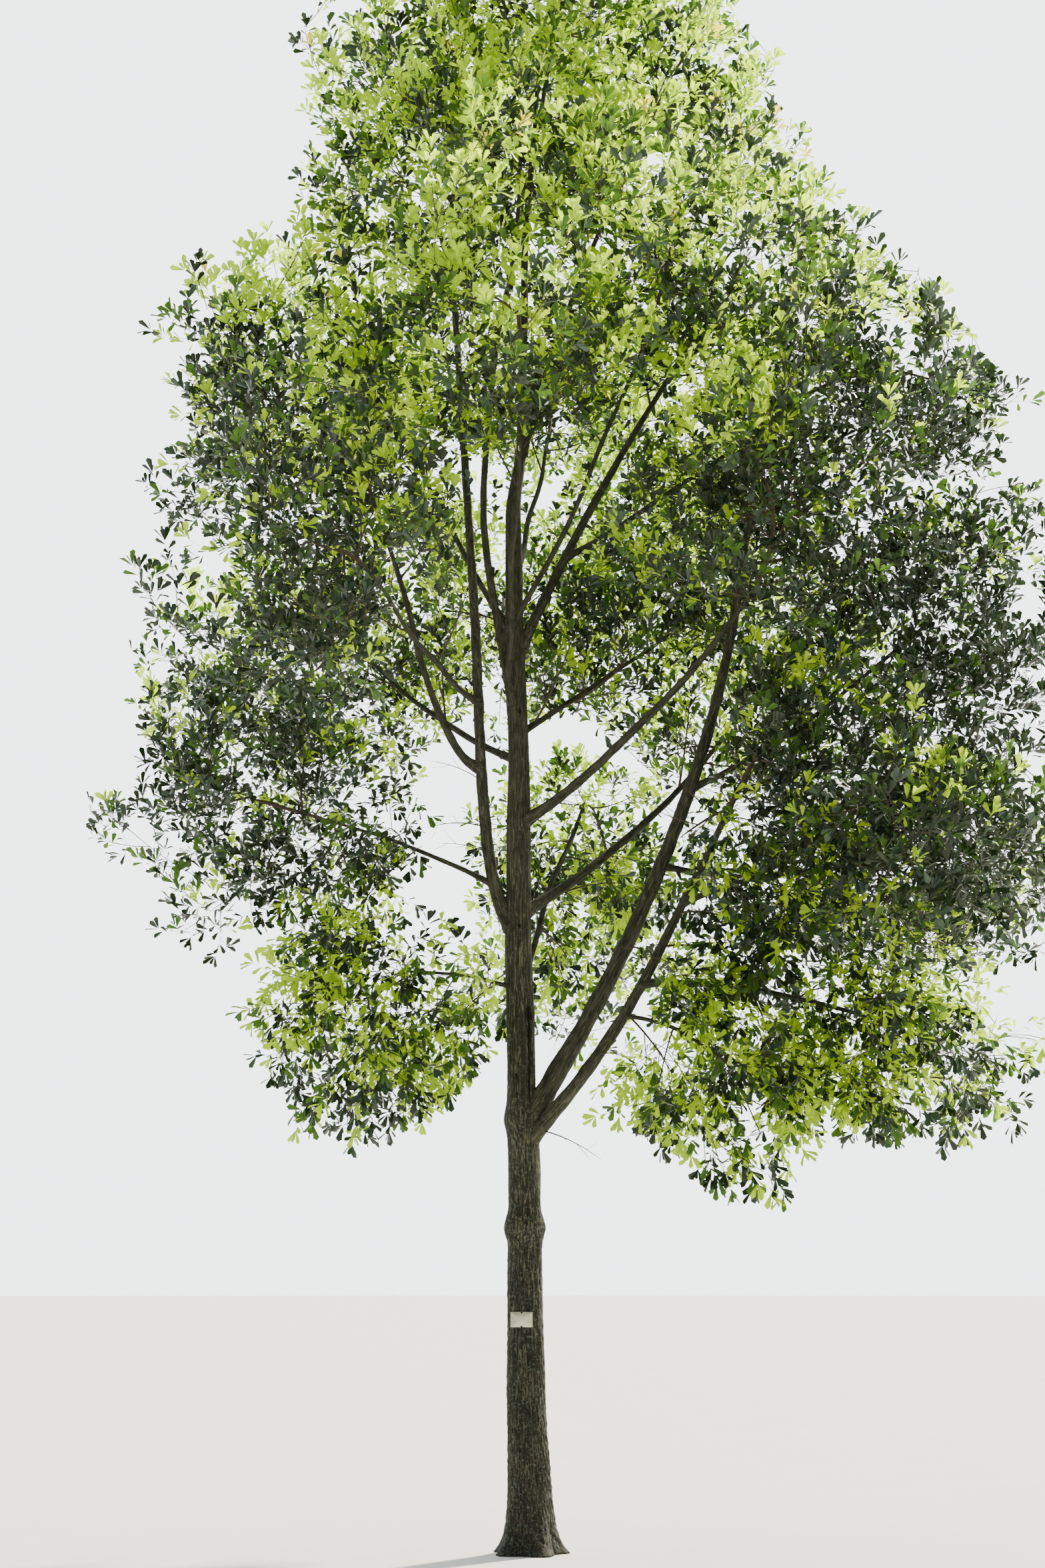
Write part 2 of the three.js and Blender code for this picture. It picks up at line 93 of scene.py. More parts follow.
# Trunk: height, diameter, and the drift of its middle along X and Y
TRUNK_STATIONS = np.array([
    (0.0, 0.262, 0.0, 0.0),
    (1.4, 0.223, -0.028, 0.0),
    (2.3, 0.206, -0.032, 0.01),
    (2.85, 0.186, -0.051, 0.01),
    (3.9, 0.177, -0.073, 0.0),
    (4.9, 0.143, -0.07, -0.015),
    (6.15, 0.121, -0.101, 0.0),
    (6.76, 0.108, -0.109, 0.02),
    (7.3, 0.068, -0.054, 0.03),
    (8.6, 0.05, -0.03, 0.02),
    (10.1, 0.028, 0.06, 0.0),
])
TRUNK_HEIGHT = TRUNK_STATIONS[-1, 0]
SKIRT_SWELL, SKIRT_HEIGHT = 0.064, 0.085
BUTTRESS_SWELL, BUTTRESS_HEIGHT = 0.024, 0.56
LOBE_COUNT, LOBE_DEPTH, LOBE_TURN, LOBE_HEIGHT = 5, 0.15, 0.35, 0.19

# Healed rings on the trunk: height, swell, half height
COLLARS = ((1.97, 0.03, 0.072), (2.65, 0.022, 0.085))

# Boughs: what each grows from and where, its tip, its bow, its diameters at foot and tip,
# the mass it carries (middle, half width and half height), and how far the bow leans to the foot
Bough = namedtuple("Bough", "name parent at tip bend girth middle across up lean", defaults=(0,))
BOUGHS = (
    Bough("right_leader", "trunk", 2.6, (1.42, -0.26, 6.25), (0.28, 0, 0.12), (0.124, 0.054),
          (1.52, -0.38, 6.98), 0.95, 0.96, 0.15),
    Bough("right_low", "trunk", 2.5, (1.23, -0.62, 4.48), (0.1, -0.03, -0.05), (0.094, 0.042),
          (1.48, -0.9, 4.95), 0.9, 0.76, 0.6),
    Bough("right_long", "right_low", 0.52, (2.08, -0.64, 3.24), (-0.04, 0, 0.07), (0.046, 0.026),
          (2.36, -0.76, 3.02), 0.8, 0.5),
    Bough("right_hanging", "right_low", 0.42, (1.16, -0.96, 2.94), (0, 0, 0.06), (0.03, 0.018),
          (1.26, -1.1, 2.74), 0.58, 0.64),
    Bough("right_spread", "right_low", 0.76, (1.76, -1.08, 4.08), (0, 0, 0.04), (0.036, 0.022),
          (2.43, -1.42, 4.16), 0.9, 0.74),
    Bough("right_mid", "right_leader", 0.43, (1.8, 0.38, 4.33), (0, 0, -0.04), (0.042, 0.024),
          (2.6, 0.52, 4.42), 0.96, 0.9),
    Bough("right_high", "right_leader", 0.57, (2.12, -0.12, 5.48), (0, 0, -0.05), (0.046, 0.026),
          (2.72, -0.22, 5.96), 0.94, 1),
    Bough("right_back", "trunk", 3.98, (1.26, 0.86, 5.25), (0.02, 0, -0.08), (0.074, 0.036),
          (1.64, 1.48, 5.9), 1.12, 1.1),
    Bough("right_front", "trunk", 4.58, (1.37, -0.94, 5.84), (0.04, 0.06, -0.08), (0.07, 0.034),
          (1.42, -1.68, 6.42), 1.05, 1.1),
    Bough("back_low", "trunk", 3.48, (0.4, 1.12, 4.96), (0, 0, 0.08), (0.044, 0.028),
          (0.62, 1.7, 4.4), 1, 1.12),
    Bough("back_inner", "trunk", 5.2, (0.9, 0.62, 6.02), (-0.04, 0, -0.03), (0.044, 0.026),
          (1.08, 1.26, 7.22), 1, 1.05, 0.6),
    Bough("left_leader", "trunk", 3.84, (-0.52, -0.12, 8.26), (-0.14, 0, -0.02), (0.088, 0.04),
          (-0.76, -0.18, 9.12), 1, 1.1, 4),
    Bough("left_high", "left_leader", 0.26, (-0.96, -0.52, 6.48), (-0.08, 0, -0.13), (0.058, 0.03),
          (-1.5, -0.82, 7.24), 0.96, 1, 1.7),
    Bough("left_low", "trunk", 3.49, (-0.76, -0.34, 3.56), (0, 0, 0.03), (0.03, 0.016),
          (-1, -0.52, 3.29), 0.74, 0.7),
    Bough("left_mid", "left_leader", 0.08, (-1.18, -0.06, 4.56), (0, 0, 0.03), (0.036, 0.02),
          (-1.86, -0.06, 4.76), 0.92, 0.91),
    Bough("left_front", "left_leader", 0.36, (-0.9, -1.16, 5.82), (0, 0, -0.08), (0.042, 0.026),
          (-1.18, -1.88, 5.86), 1.05, 1.1),
    Bough("left_back", "trunk", 5.02, (-1.12, 1.06, 6), (0, 0, -0.08), (0.052, 0.028),
          (-1.64, 1.54, 6.06), 1.12, 1.1),
    Bough("back_mid", "trunk", 4.98, (-0.18, 1.44, 6.32), (0, 0, -0.06), (0.05, 0.028),
          (-0.18, 2.12, 6.9), 1.1, 1.15),
    Bough("inner_leader", "trunk", 5.28, (-0.17, -0.36, 8.15), (-0.17, -0.06, 0), (0.062, 0.032),
          (-0.06, -0.76, 9.26), 1, 1.1),
    Bough("front_crossing", "inner_leader", 0.19, (0.7, -0.76, 7.52), (0.04, -0.06, -0.06), (0.042, 0.026),
          (0.9, -1.4, 8.06), 1.05, 1.1, 0.8),
    Bough("front_mid", "inner_leader", 0.1, (-0.06, -1.5, 6.9), (0, 0, -0.06), (0.042, 0.026),
          (-0.08, -2.24, 7.26), 1.05, 1.1),
    Bough("upper_right", "trunk", 5.72, (1.02, 0.18, 7.9), (-0.05, 0, 0), (0.074, 0.036),
          (1.4, 0.2, 8.76), 1.02, 1.1),
    Bough("upper_side", "upper_right", 0.34, (1.76, -0.32, 7.42), (0, 0, -0.04), (0.04, 0.024),
          (2.48, -0.42, 7.64), 0.98, 0.98),
    Bough("upper_back", "trunk", 6.3, (0.14, 1.18, 7.76), (0, 0, -0.06), (0.046, 0.028),
          (0.16, 1.72, 8.44), 1.1, 1.2),
    Bough("upper_left", "trunk", 5.9, (-0.88, 0.62, 7.62), (-0.04, 0, -0.04), (0.046, 0.026),
          (-1.38, 0.88, 8.14), 1.02, 1.1),
    Bough("top_right", "trunk", 7.0, (0.64, 0.06, 9.24), (-0.06, 0, 0), (0.05, 0.03),
          (1.06, 0.06, 10.18), 0.95, 1),
)

# Masses that grow straight from the trunk near its top: height on the trunk, diameter of the stem,
# middle, half width and half height
TopMass = namedtuple("TopMass", "name at girth middle across up")
TOP_MASSES = (
    TopMass("top_left", 8.75, 0.034, (-0.66, 0.14, 10.42), 0.95, 1.05),
    TopMass("top_back", 9.0, 0.032, (0.26, 0.86, 10.36), 1, 1.1),
    TopMass("top_front", 9.3, 0.032, (0.26, -0.82, 10.56), 1, 1.1),
    TopMass("crown_tip", TRUNK_HEIGHT, 0.028, (0.12, 0.02, 11.54), 1.05, 1.12),
)

# Share of its main twigs that a mass keeps, where the photograph shows sky through it
OPENNESS = {
    "right_hanging": 0.34,
    "right_long": 0.6,
    "left_low": 0.55,
    "left_mid": 0.9,
    "back_low": 0.85,
    "front_crossing": 0.8,
    "front_mid": 0.8,
    "upper_back": 0.8,
    "back_mid": 0.85,
}

# How many more main twigs than usual a mass grows, where the photograph shows it densest
EXTRA_TWIGS = {"right_high": 7, "right_mid": 5, "upper_side": 5}

# Leafy sprigs along a bough: the share of it that is bare, the space between sprigs, their shortest
# and longest length, and, for loose ones that mingle with other masses, which way they bow
DROOPING, RISING = -0.35, 0.35
Sprigs = namedtuple("Sprigs", "bare spacing shortest longest loose", defaults=(0.5, 0.2, 0.4, 0.75, None))
SPRIGS = {
    "right_leader": Sprigs(0.72),
    "right_low": Sprigs(0.44, 0.11, 0.4, 0.85, DROOPING),
    "back_inner": Sprigs(0.15, 0.09, 0.4, 0.75, RISING),
    "left_leader": Sprigs(0.6),
    "inner_leader": Sprigs(0.6),
    "right_back": Sprigs(0.6),
    "left_low": Sprigs(0.06, 0.09, 0.35, 0.7, DROOPING),
    "left_mid": Sprigs(0.42, 0.1, 0.4, 0.8, DROOPING),
    "right_long": Sprigs(0.06, 0.14, 0.3, 0.55, DROOPING),
    "right_spread": Sprigs(0.1, 0.13, 0.35, 0.7, DROOPING),
    "right_hanging": Sprigs(0.05, 0.16, 0.3, 0.6, DROOPING),
    "back_low": Sprigs(0.1, 0.14, 0.4, 0.8, DROOPING),
}

# How far along each bough shows bare in the photograph, seen from where it was taken
BARE_TO_SEE = {
    "right_leader": 0.9,
    "right_low": 0.75,
    "right_back": 0.95,
    "right_front": 0.9,
    "back_inner": 0.75,
    "back_low": 0.6,
    "upper_right": 0.9,
    "left_leader": 0.68,
    "left_high": 0.85,
    "left_mid": 0.4,
    "inner_leader": 0.6,
}

# Where the photograph was taken from, how high the trunk shows bare, and the margin kept clear beside
# what shows bare
VIEWPOINT = np.array((-0.045, -14.15, 1.6))
TRUNK_SEEN_TO, SEEN_MARGIN = 7.1, 0.035

# The right shoulder's slope in the photograph, as a normal and a distance in the trunk's upright plane,
# how far past it main twigs and sprigs may end, and how far the last shoots
SHOULDER_NORMAL, SHOULDER_EDGE = np.array((0.843, 0.538)), 6.9
SHOULDER_TWIGS, SHOULDER_FRINGE = 0.1, 0.3

# Small bare twigs on the trunk and boughs: what carries each, where, its tip, its radius at the foot
BARE_TWIGS = (
    ("trunk", 2.6, (0.47, -0.3, 2.36), 0.006),
    ("trunk", 3.36, (-0.4, -0.12, 3.38), 0.004),
    ("left_leader", 0.17, (-0.68, -0.3, 4.5), 0.005),
    ("left_leader", 0.13, (-0.6, -0.2, 4.42), 0.004),
    ("left_leader", 0.24, (-0.66, -0.34, 4.94), 0.004),
    ("right_leader", 0.4, (0.4, -0.3, 3.86), 0.004),
    ("right_leader", 0.38, (1.06, -0.4, 3.98), 0.005),
    ("right_leader", 0.62, (1.04, -0.5, 5.06), 0.004),
    ("right_low", 0.3, (0.66, -0.62, 2.94), 0.004),
    ("right_low", 0.56, (0.86, -0.86, 3.86), 0.004),
    ("right_back", 0.42, (0.72, 0.12, 4.36), 0.004),
)

# How far a bough's crook sways to its side, and how many waves it makes
CROOK_SIZE, CROOK_WAVES = 0.016, 1.6

# A bough's collar: its swell as a share of the radius, and the length over which it dies away
BRANCH_COLLAR_SWELL, BRANCH_COLLAR_LENGTH = 0.28, 0.09

# The gap between a bough's tip and the stem it hands over to, and each mass's gap to its bounds
CLEARANCE, MASS_GAP = 0.0003, 0.014

# How far leaves may pass the CAD box
BOX_SLACK = 0.04

# The height of a mass's middle below which its sprays droop and above which they rise
DROOP_BELOW = 3.5

# How far main twigs, side twigs and a bough's sprigs reach, as shares of the mass's ellipsoid
TIP_REACH, TWIG_REACH, SPRIG_REACH = 1.14, 1.18, 2.2

# Seeds of the random draws: trunk, boughs, masses and the step between them, sun patches, bare twigs
TRUNK_SEED, BOUGH_SEED, MASS_SEED, MASS_SEED_STEP, PATCH_SEED, BARE_SEED = 7, 300, 101, 17, 53, 41

GOLDEN_ANGLE = math.pi * (3 - math.sqrt(5))
UP = np.array((0.0, 0.0, 1.0))
ACROSS = np.array((1.0, 0, 0))
AWAY = np.array((0, 1.0, 0))

# Old pruning wounds and the dark streak on the trunk: height, turn from +X towards the camera,
# half height, half width in radians, and depth
WOUNDS = (
    (3.33, 0.85, 0.055, 0.42, 0.01),
    (3.14, 0.95, 0.2, 0.15, 0.003),
    (2.9, 1.0, 0.16, 0.11, 0.003),
    (3.12, 2.9, 0.022, 0.16, 0.004),
    (2.92, 1.95, 0.02, 0.14, 0.004),
    (2.8, 1.9, 0.016, 0.12, 0.004),
    (3.9, 1.5, 0.02, 0.14, 0.003),
    (1.74, 1.75, 0.008, 0.05, 0.004),
    (5.35, 1.3, 0.03, 0.2, 0.006),
    (4.2, 4.4, 0.035, 0.2, 0.008),
    (2.1, 4.9, 0.03, 0.16, 0.006),
)


def linear(code):
    """The linear RGB of an sRGB hex colour."""
    shares = [int(code[i:i + 2], 16) / 255 for i in (1, 3, 5)]
    return [s / 12.92 if s <= 0.04045 else ((s + 0.055) / 1.055) ** 2.4 for s in shares]


def colour(name, code, description):
    """A colour property that starts from a hex code."""
    return FloatVectorProperty(
        name=name, description=description, subtype="COLOR", size=3, min=0, max=1, default=linear(code)
    )


def length(name, size, description):
    """A length property in metres."""
    return FloatProperty(name=name, description=description, default=size, min=0, unit="LENGTH")


def amount(name, size, description):
    """A property that is a plain number."""
    return FloatProperty(name=name, description=description, default=size, min=0)


class BarkSettings(bpy.types.PropertyGroup):
    """Relief and colours of the bark."""

    furrow_depth: length("Furrow depth", 0.0055, "Depth of the furrows at the foot of the trunk")
    plate_relief: length("Plate relief", 0.0035, "Height of the small rough plates at the foot")
    ridge: colour("Ridges", "#30322a", "Weathered tops of the bark's ridges")
    # Painted shade in the furrows' bottoms and the cracks between plates; the same dark also tints random
    # patches and, darker still, the old wounds
    furrow: colour("Furrows", "#11120e", "Shaded bottoms of the furrows")
    fissure: colour("Fissures", "#777560", "Inner bark that shows in fine upright cracks")
    lichen: colour("Lichen", "#5d6a60", "Grey-green flecks of lichen on the old bark")
    smooth: colour("Young bark", "#383a30", "Smoother bark of the boughs and the upper trunk")
    twig: colour("Twigs", "#453a2c", "Bark of twigs and shoots")


class LeafSettings(bpy.types.PropertyGroup):
    """Size and colours of the leaves, and how many there are."""

    leaf_length: length("Leaf length", 0.095, "Length of a full-grown leaf, a little larger than life")
    leaf_width: amount("Leaf width", 0.42, "Width of a leaf as a share of its length")
    main_twigs: IntProperty(name="Main twigs", description="Main twigs in a mass", default=20, min=4, max=40)
    side_twigs: IntProperty(name="Side twigs", description="Side twigs on each main twig", default=8, min=2)
    shoots: IntProperty(name="Shoots", description="Leafy shoots on each side twig", default=6, min=1)
    young: colour("Young tips", "#a89a38", "Newest leaves at the tips of the topmost sprigs")
    # Painted light: the sunlit yellow-green goes to shoots where the crown stands in sun
    sunlit: colour("Sunlit leaves", "#809c20", "Yellow-green leaves on the sunny side")
    middling: colour("Middling leaves", "#345017", "Ordinary leaves of the crown")
    # Painted shade: the dark green that shoots get where the crown is shaded
    deep: colour("Deep leaves", "#13220b", "Older dark leaves inside the crown")
    # Painted reflection: the grey-green paints the sky's sheen on the leaves; their waxy gloss itself comes
    # from a low roughness
    sheen: colour("Sheen leaves", "#2c3d30", "Leaves that turn a waxy grey-green face to the sky")


class PlateSettings(bpy.types.PropertyGroup):
    """The bare tag plate on the trunk."""

    height: length("Height", 1.4, "Height of the plate's middle above the ground")
    across: FloatProperty(name="Across", description="Plate's middle along X", default=-0.051, unit="LENGTH")
    width: length("Width", 0.138, "Width of the plate")
    tall: length("Tall", 0.093, "Height of the plate from edge to edge")
    thickness: length("Thickness", 0.0016, "Thickness of the sheet")
    face: colour("Face", "#cdd0b4", "Pale enamel of the plate")
    steel: colour("Fixings", "#2e2e2b", "Weathered steel of the fixings")


class StageSettings(bpy.types.PropertyGroup):
    """Floor, light and camera."""

    floor: colour("Floor", "#b6b6b0", "Plain pale floor")
    sky: colour("Surround", "#eef2f5", "Plain pale surround")
    near: amount("Light in front", 0.45, "Strength of the surround in front")
    far: amount("Light behind", 4.5, "Strength of the surround behind the tree")
    key: amount("Key light", 18.0, "Strength of the light behind the tree")
    fill: amount("Fill light", 60.0, "Power of the soft light in front")
    lens: amount("Lens", 50.0, "Focal length in millimetres")


def unit(vectors):
    """Vectors scaled to a length of one, along their last axis."""
    return vectors / np.maximum(np.linalg.norm(vectors, axis=-1, keepdims=True), 1e-9)


# Trunk and boughs


def trunk_value(height, column, eased):
    """One column of the trunk's stations at each height, straight between them or eased by 3s^2 - 2s^3."""
    height = np.asarray(height, float)
    heights = TRUNK_STATIONS[:, 0]
    high = np.clip(np.searchsorted(heights, height), 1, len(heights) - 1)
    share = np.clip((height - heights[high - 1]) / (heights[high] - heights[high - 1]), 0, 1)
    weight = share**2 * (3 - 2 * share) if eased else share
    lower, upper = TRUNK_STATIONS[high - 1, column], TRUNK_STATIONS[high, column]
    return lower + (upper - lower) * weight


def trunk_middle(height):
    """The trunk's middle line at each height."""
    height = np.asarray(height, float)
    return np.stack([trunk_value(height, 2, True), trunk_value(height, 3, True), height], axis=-1)


def trunk_half(height):
    """Half the trunk's diameter at each height, without its flare and rings."""
    return trunk_value(height, 1, False) / 2


def trunk_radius(height, turn):
    """Half the diameter plus a skirt and a buttress that die away upwards, times root lobes, plus rings."""
    flare = SKIRT_SWELL * np.exp(-height / SKIRT_HEIGHT) + BUTTRESS_SWELL * np.exp(-height / BUTTRESS_HEIGHT)
    lobes = 1 + LOBE_DEPTH * np.exp(-height / LOBE_HEIGHT) * np.cos(LOBE_COUNT * turn + LOBE_TURN)
    rings = sum(swell * np.exp(-(((height - middle) / half) ** 2)) for middle, swell, half in COLLARS)
    return (trunk_half(height) + flare) * lobes + rings


class Limb:
    """A bough's middle line and radius.

    The line is foot + span t + bend 4s(1-s), with s = t (1 + lean) / (1 + lean t), and a crook of
    4t(1-t) sin(2 pi waves t) to one side.
    """

    def __init__(self, row, foot, crook):
        self.row = row
        self.foot = np.asarray(foot, float)
        self.span = np.array(row.tip) - self.foot
        self.length = np.linalg.norm(self.span)
        self.side = unit(np.cross(self.span, UP)) * crook

    def point(self, t):
        """Points at shares t of the bough."""
        t = np.asarray(t, float)[..., None]
        leaned = t * (1 + self.row.lean) / (1 + self.row.lean * t)
        bow = 4 * leaned * (1 - leaned)
        sway = 4 * t * (1 - t) * np.sin(2 * np.pi * CROOK_WAVES * t)
        return self.foot + self.span * t + np.array(self.row.bend) * bow + self.side * sway

    def heading(self, t):
        """Which way the bough runs at shares t."""
        step = 1e-4
        return unit(self.point(np.minimum(t + step, 1)) - self.point(np.maximum(t - step, 0)))

    def radius(self, t):
        """Half the diameter, straight from foot to tip, times 1 + swell exp(-along / collar length)."""
        foot, tip = self.row.girth
        swell = 1 + BRANCH_COLLAR_SWELL * np.exp(-t * self.length / BRANCH_COLLAR_LENGTH)
        return (foot + (tip - foot) * t) / 2 * swell


def grown_limbs():
    """Every bough by name, each with its foot on the middle line of what carries it."""
    limbs = {}
    for index, row in enumerate(BOUGHS):
        foot = trunk_middle(row.at) if row.parent == "trunk" else limbs[row.parent].point(row.at)
        limbs[row.name] = Limb(row, foot, CROOK_SIZE * (1 if index % 2 else -1))
    return limbs


LIMBS = grown_limbs()


# Waves of relief: how many, how many times round the limb at most, and the shortest in metres
DRIFT_WAVES, WIDTH_WAVES = (18, 4, 0.22), (12, 6, 0.12)
PLATE_WAVES, TRUNK_LUMP_WAVES = (60, 34, 0.045), (16, 5, 0.5)
BOUGH_LUMP_WAVES, BOUGH_RING_WAVES = (20, 3, 0.18), (10, 0, 0.09)

# How wide furrows are, w in their rule: its mean, how much it varies, and its least
FURROW_WIDTH, WIDTH_VARIES, LEAST_WIDTH = 0.3, 0.1, 0.1


def wave_sum(turn, along, random, waves, most_round, shortest):
    """Smooth random relief of about -1 to 1: waves cos(k turn + q along + phase), with k a whole number.

    No wave is shorter than shortest metres along the limb, or more than most_round times round it.
    """
    total = np.zeros(np.broadcast(turn, along).shape)
    most_along = 2 * np.pi / shortest
    for _ in range(waves):
        round_it = random.integers(-most_round, most_round + 1)
        up_it = random.uniform(-most_along, most_along)
        total += np.cos(round_it * turn + up_it * along + random.uniform(0, 2 * np.pi))
    return total / math.sqrt(waves / 2)


def furrows(turn, along, random, strands, meander):
    """1 in the bottom of an upright furrow and 0 on the ridges: exp(-(sin(strands turn + drift) / w)^2)."""
    drift = meander * wave_sum(turn, along, random, *DRIFT_WAVES)
    wide = FURROW_WIDTH + WIDTH_VARIES * wave_sum(turn, along, random, *WIDTH_WAVES)
    return np.exp(-((np.sin(strands * turn + drift) / np.maximum(wide, LEAST_WIDTH)) ** 2))


def wounds(turn, height):
    """How deep each place lies in an old wound, from 0 to 1, and the metres it is sunk by.

    At r times a wound's half size the first is exp(-r^4), and the second is the depth times
    exp(-r^2) - 0.7 exp(-(r - 1.5)^2 / 0.16), a hollow with a raised lip.
    """
    dark = np.zeros(np.broadcast(turn, height).shape)
    sunk = np.zeros_like(dark)
    for middle, facing, half, wide, depth in WOUNDS:
        away = (turn - facing + np.pi) % (2 * np.pi) - np.pi
        reach = ((height - middle) / half) ** 2 + (away / wide) ** 2
        dark = np.maximum(dark, np.exp(-(reach**2)))
        sunk += depth * (np.exp(-reach) - 0.7 * np.exp(-((np.sqrt(reach) - 1.5) ** 2) / 0.16))
    return dark, sunk


def closed_tube(rings, first, last):
    """Points and triangles of a tube of n rings of m points, closed by a fan to an end point at each end."""
    count, sides = rings.shape[:2]
    ring = np.arange(sides)
    after = (ring + 1) % sides
    low = (np.arange(count - 1) * sides)[:, None]
    a, b, c, d = low + ring, low + after, low + sides + after, low + sides + ring
    walls = np.concatenate([np.stack([a, b, c], -1), np.stack([a, c, d], -1)]).reshape(-1, 3)
    foot, tip = count * sides, count * sides + 1
    top = (count - 1) * sides
    caps = np.concatenate([
        np.stack([after, ring, np.full(sides, foot)], -1),
        np.stack([top + ring, top + after, np.full(sides, tip)], -1),
    ])
    points = np.concatenate([rings.reshape(-1, 3), first[None], last[None]])
    return points, np.concatenate([walls, caps])


def mesh_piece(name, points, triangles, materials, dealt=None, attributes=None):
    """A joined mesh from whole arrays, riding on the tree; dealt gives each triangle's material."""
    mesh = bpy.data.meshes.new(name)
    mesh.vertices.add(len(points))
    mesh.vertices.foreach_set("co", np.ascontiguousarray(points, np.float32).ravel())
    mesh.loops.add(3 * len(triangles))
    mesh.loops.foreach_set("vertex_index", np.ascontiguousarray(triangles, np.int32).ravel())
    mesh.polygons.add(len(triangles))
    mesh.polygons.foreach_set("loop_start", np.arange(0, 3 * len(triangles), 3, dtype=np.int32))
    mesh.polygons.foreach_set("use_smooth", np.ones(len(triangles), bool))
    for material in materials:
        mesh.materials.append(material)
    if dealt is not None:
        mesh.polygons.foreach_set("material_index", np.ascontiguousarray(dealt, np.int32))
    for key, values in (attributes or {}).items():
        layer = mesh.attributes.new(key, "FLOAT_VECTOR", "POINT")
        layer.data.foreach_set("vector", np.ascontiguousarray(values, np.float32).ravel())
    mesh.update(calc_edges=True)
    piece = bpy.data.objects.new(name, mesh)
    bpy.context.scene.collection.objects.link(piece)
    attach(piece, "root")
    return piece


def limb_surface(middle, heading, radius, turn):
    """Rings of a limb: middle + across r cos(turn) + beside r sin(turn), square to its heading."""
    overall = unit(middle[-1] - middle[0])
    reference = ACROSS if abs(overall[0]) < 0.8 else AWAY
    across = unit(reference - heading * (heading @ reference)[:, None])
    beside = np.cross(across, heading)
    out = across[:, None] * np.cos(turn)[..., None] + beside[:, None] * np.sin(turn)[..., None]
    return middle[:, None] + out * radius[..., None]


def bark_attributes(turn, radius, along, furrow, age, dark):
    """Where each point is on its limb, as r cos(turn), r sin(turn), along, and its furrow, age and wound.

    The two end points of a tube repeat its first and last point.
    """
    along, age = np.broadcast_to(along, radius.shape), np.broadcast_to(age, furrow.shape)
    grain = np.stack([radius * np.cos(turn), radius * np.sin(turn), along], -1)
    wear = np.stack([furrow, age, dark], -1)
    ends = [0, -1]
    grain, wear = grain.reshape(-1, 3), wear.reshape(-1, 3)
    return {"grain": np.concatenate([grain, grain[ends]]), "wear": np.concatenate([wear, wear[ends]])}


# Points round the trunk and its rings, which stand at the height times 0.42 s + 0.58 s^2, closest
# together at the foot, where the relief is deepest
TRUNK_SIDES, TRUNK_RINGS = 132, 380
RINGS_EVEN, RINGS_CROWDED = 0.42, 0.58

# Points round a bough, the space between its rings, and the fewest rings that it has
BOUGH_SIDES, BOUGH_RING_STEP, FEWEST_RINGS = 16, 0.03, 24

# The age of the bark up the trunk, as heights and ages, and the greatest age of a bough's
BARK_AGE = (0, 1.2, 3.2, 5.0, TRUNK_HEIGHT), (1, 0.85, 0.5, 0.18, 0)
OLDEST_BOUGH = 0.24

# How many furrows stand round the trunk and round a bough, and how far they wander, in radians
TRUNK_FURROWS, BOUGH_FURROWS = (15, 1.5), (4, 1.2)

# Height of the trunk's broad lumps, the part of the plates' relief that shows, the radius below which
# all relief fades, and how far the tip is drawn out
LUMP_RELIEF, PLATE_SHARE, FULL_RADIUS, TIP_RISE = 0.0022, 0.55, 0.1, 0.004

# Lumps, shoot rings and furrows of a bough, as shares of its radius
BOUGH_LUMPS, BOUGH_RINGS, BOUGH_GROOVES = 0.035, 0.02, 0.05

# A bough's skin starts this share of the carrying limb's radius from that limb's middle line
SUNK_SHARE = 0.6

# The radius up to which a bough's bark is young, and over how much more it ages by one
YOUNG_RADIUS, AGEING = 0.02, 0.07

# How much a bough swells at its foot, and over how many of its radii that dies away
FOOT_SWELL, FOOT_RADII = 0.42, 2.2

# The round pruning wound at the foot of the right leader: its middle, its radius, and what it marks
BOUGH_WOUND, BOUGH_WOUND_RADIUS = np.array((0.15, -0.1, 2.78)), 0.03
WOUNDED_BOUGHS = ("right_leader", "right_low")


def trunk_arrays(bark):
    """The trunk's skin on a turn by height grid: its radius less furrows and wounds, plus rough plates."""
    random = np.random.default_rng(TRUNK_SEED)
    share = np.linspace(0, 1, TRUNK_RINGS)
    height = (TRUNK_HEIGHT * share * (RINGS_EVEN + RINGS_CROWDED * share))[:, None]
    turn = (np.arange(TRUNK_SIDES) * 2 * np.pi / TRUNK_SIDES)[None, :]
    age = np.interp(height, *BARK_AGE)
    groove = furrows(turn, height, random, *TRUNK_FURROWS)
    plates = wave_sum(turn, height, random, *PLATE_WAVES)
    lumps = wave_sum(turn, height, random, *TRUNK_LUMP_WAVES)
    dark, sunk = wounds(turn, height)
    radius = trunk_radius(height, turn)

    # All relief fades where the trunk is thin. On the youngest bark furrows keep 0.12 of their depth and
    # plates 0.1 of theirs
    fine = np.minimum(1, radius / FULL_RADIUS)
    radius = radius - bark.furrow_depth * (0.12 + 0.88 * age) * groove * fine - sunk
    radius += bark.plate_relief * (0.1 + 0.9 * age**2) * plates * fine * PLATE_SHARE
    radius += LUMP_RELIEF * lumps * fine
    middle = trunk_middle(height[:, 0])
    out = np.stack([np.cos(turn), -np.sin(turn), np.zeros_like(turn)], -1)
    rings = middle[:, None] + out * radius[..., None]
    points, triangles = closed_tube(rings, middle[0], middle[-1] + UP * TIP_RISE)
    return points, triangles[:, ::-1], bark_attributes(turn, radius, height, groove, age, dark)


